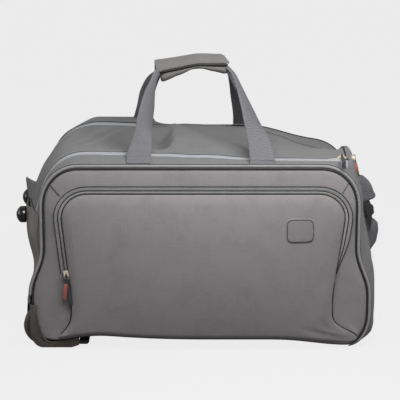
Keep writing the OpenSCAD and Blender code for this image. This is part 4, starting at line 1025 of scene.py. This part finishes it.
# Wheels and housings
# Moulded nylon corner guards, fixed to the base board, hold the two wheels: hard hubs on ball bearings
# with soft dark tyres.
housing_plastic = moulded("moulded_nylon_brown_grey", "#4c4744", "#403b38", roughness=0.5)
tyre_rubber = moulded("polyurethane_tyre_dark", "#55504c", "#4a4541", roughness=0.6)
for side in ("front", "rear"):
    softened("wheel_housing_" + side, "bag", housing_plastic, "housing_plastic", edge=1.0)
    softened("tyre_" + side, "wheel_" + side, tyre_rubber, "tyre", edge=0.6)
    softened("hub_" + side, "wheel_" + side, housing_plastic, "housing_plastic", edge=0.6)

# Bumpers and runners
# Black rubber mouldings fixed to the base: a bumper beside each wheel housing, and runners under the
# right end that the bag stands on.
black_rubber = moulded("moulded_rubber_black", "#1c1b1b", "#141313", roughness=0.65)
for node in ("housing_bumpers", "base_runners"):
    softened(node, "bag", black_rubber, "rubber", edge=1.0)

# Pull handle
# The moulded bezel is set into the right end. The grip is two black shells on the inner tubes, with the
# release button between them.
black_plastic = moulded("moulded_plastic_black", "#202021", "#181819", roughness=0.45)
softened("trolley_bezel", "bag", housing_plastic, "housing_plastic", edge=0.8)
for node in ("grip_body", "grip_cover"):
    softened(node, "trolley_top", black_plastic, "black_plastic", edge=0.8)
softened("release_button", "trolley_button", housing_plastic, "housing_plastic", edge=0.5)

# Hidden hardware
# Axles, bearings, telescopic tubes, collars, plugs, rods, bracket, spring and base board keep their solids.
# Only their finishes are set: plated steel, anodised tube, black mouldings and pressed board.
steel = moulded("plated_steel", "#b9b9bb", "#a6a6a9", roughness=0.28, metallic=1.0, relief=0.03)
tube_metal = moulded("anodised_aluminium", "#9b9c9e", "#8b8c8f", roughness=0.35, metallic=1.0, relief=0.03)
board = moulded("pressed_board_grey", "#6a6560", "#5c5752", roughness=0.8)
for finish, nodes in (
    (steel, ["axle_front", "axle_rear", "bearings_front", "bearings_rear", "button_spring", "push_rods"]),
    (tube_metal, ["trolley_outer_tubes", "mid_tubes", "inner_tubes"]),
    (black_plastic, ["outer_tube_collars", "mid_collars", "trolley_base_bracket", "tube_plugs"]),
    (board, ["base_board"]),
):
    for name in nodes:
        cad = bpy.data.objects[name].data
        cad.materials.clear()
        cad.materials.append(finish)

# Camera
# A long lens three metres from the bag, 15 degrees above it, aimed at its middle.
target, distance = Vector((0, 0, 0.210)), 3.0
elevation = radians(15)
camera = bpy.data.objects.new("camera", bpy.data.cameras.new("camera"))
camera.data.lens = 162.5
camera.data.sensor_width = 36
bpy.context.collection.objects.link(camera)
back = Vector((0, -cos(elevation), sin(elevation)))
camera.location = target + back * distance
camera.rotation_mode = "QUATERNION"
camera.rotation_quaternion = (-back).to_track_quat("-Z", "Y")
bpy.context.scene.camera = camera

# Floor and light
# A plain pale floor fills the view. A soft lamp hangs close above the front right of the bag, so the light
# falls off down the front, a weak one fills the left end, and an even light does the rest.
# To the camera the floor glows almost evenly, and to the bag it is a dull grey.
floor_grey, bounce_grey, floor_size, floor_glow = "#eeeeee", "#7e7e7e", 20, 0.96
bm = bmesh.new()
bmesh.ops.create_grid(bm, x_segments=1, y_segments=1, size=floor_size)
floor_mesh = bpy.data.meshes.new("floor")
bm.to_mesh(floor_mesh)
bm.free()
floor = bpy.data.objects.new("floor", floor_mesh)
bpy.context.collection.objects.link(floor)
floor_paint, tree = start_material("floor_paint_pale_grey")
seen = add(tree, "LightPath").outputs["Is Camera Ray"]
glow = add(tree, "Emission", {"Color": colour(floor_grey), "Strength": 1.0}).outputs[0]
pale = add(tree, "BsdfDiffuse", {"Color": colour(floor_grey)}).outputs[0]
dull = add(tree, "BsdfDiffuse", {"Color": colour(bounce_grey)}).outputs[0]
shown = add(tree, "MixShader", {0: floor_glow, 1: pale, 2: glow}).outputs[0]
floor_mix = add(tree, "MixShader", {0: seen, 1: dull, 2: shown}).outputs[0]
add(tree, "OutputMaterial", {"Surface": floor_mix})
floor_mesh.materials.append(floor_paint)

world = bpy.data.worlds.new("studio")
world.use_nodes = True
bpy.context.scene.world = world
sky = world.node_tree.nodes["Background"]
sky.inputs["Color"].default_value = (1, 1, 1, 1)
sky.inputs["Strength"].default_value = 0.30


def lamp(name, place, aim, size, power):
    data = bpy.data.lights.new(name, "AREA")
    data.shape = "RECTANGLE"
    data.size, data.size_y = size
    data.energy = power
    made = bpy.data.objects.new(name, data)
    bpy.context.collection.objects.link(made)
    made.location = place
    made.rotation_mode = "QUATERNION"
    made.rotation_quaternion = (Vector(aim) - Vector(place)).to_track_quat("-Z", "Y")


lamp("softbox", place=(0.19, -0.6, 0.86), aim=(0.03, -0.1, 0.2), size=(0.9, 0.4), power=12)
lamp("side_fill", place=(-1.2, -0.1, 0.45), aim=(-0.27, 0.0, 0.17), size=(0.6, 0.6), power=2.2)

bpy.context.scene.view_settings.view_transform = "Standard"
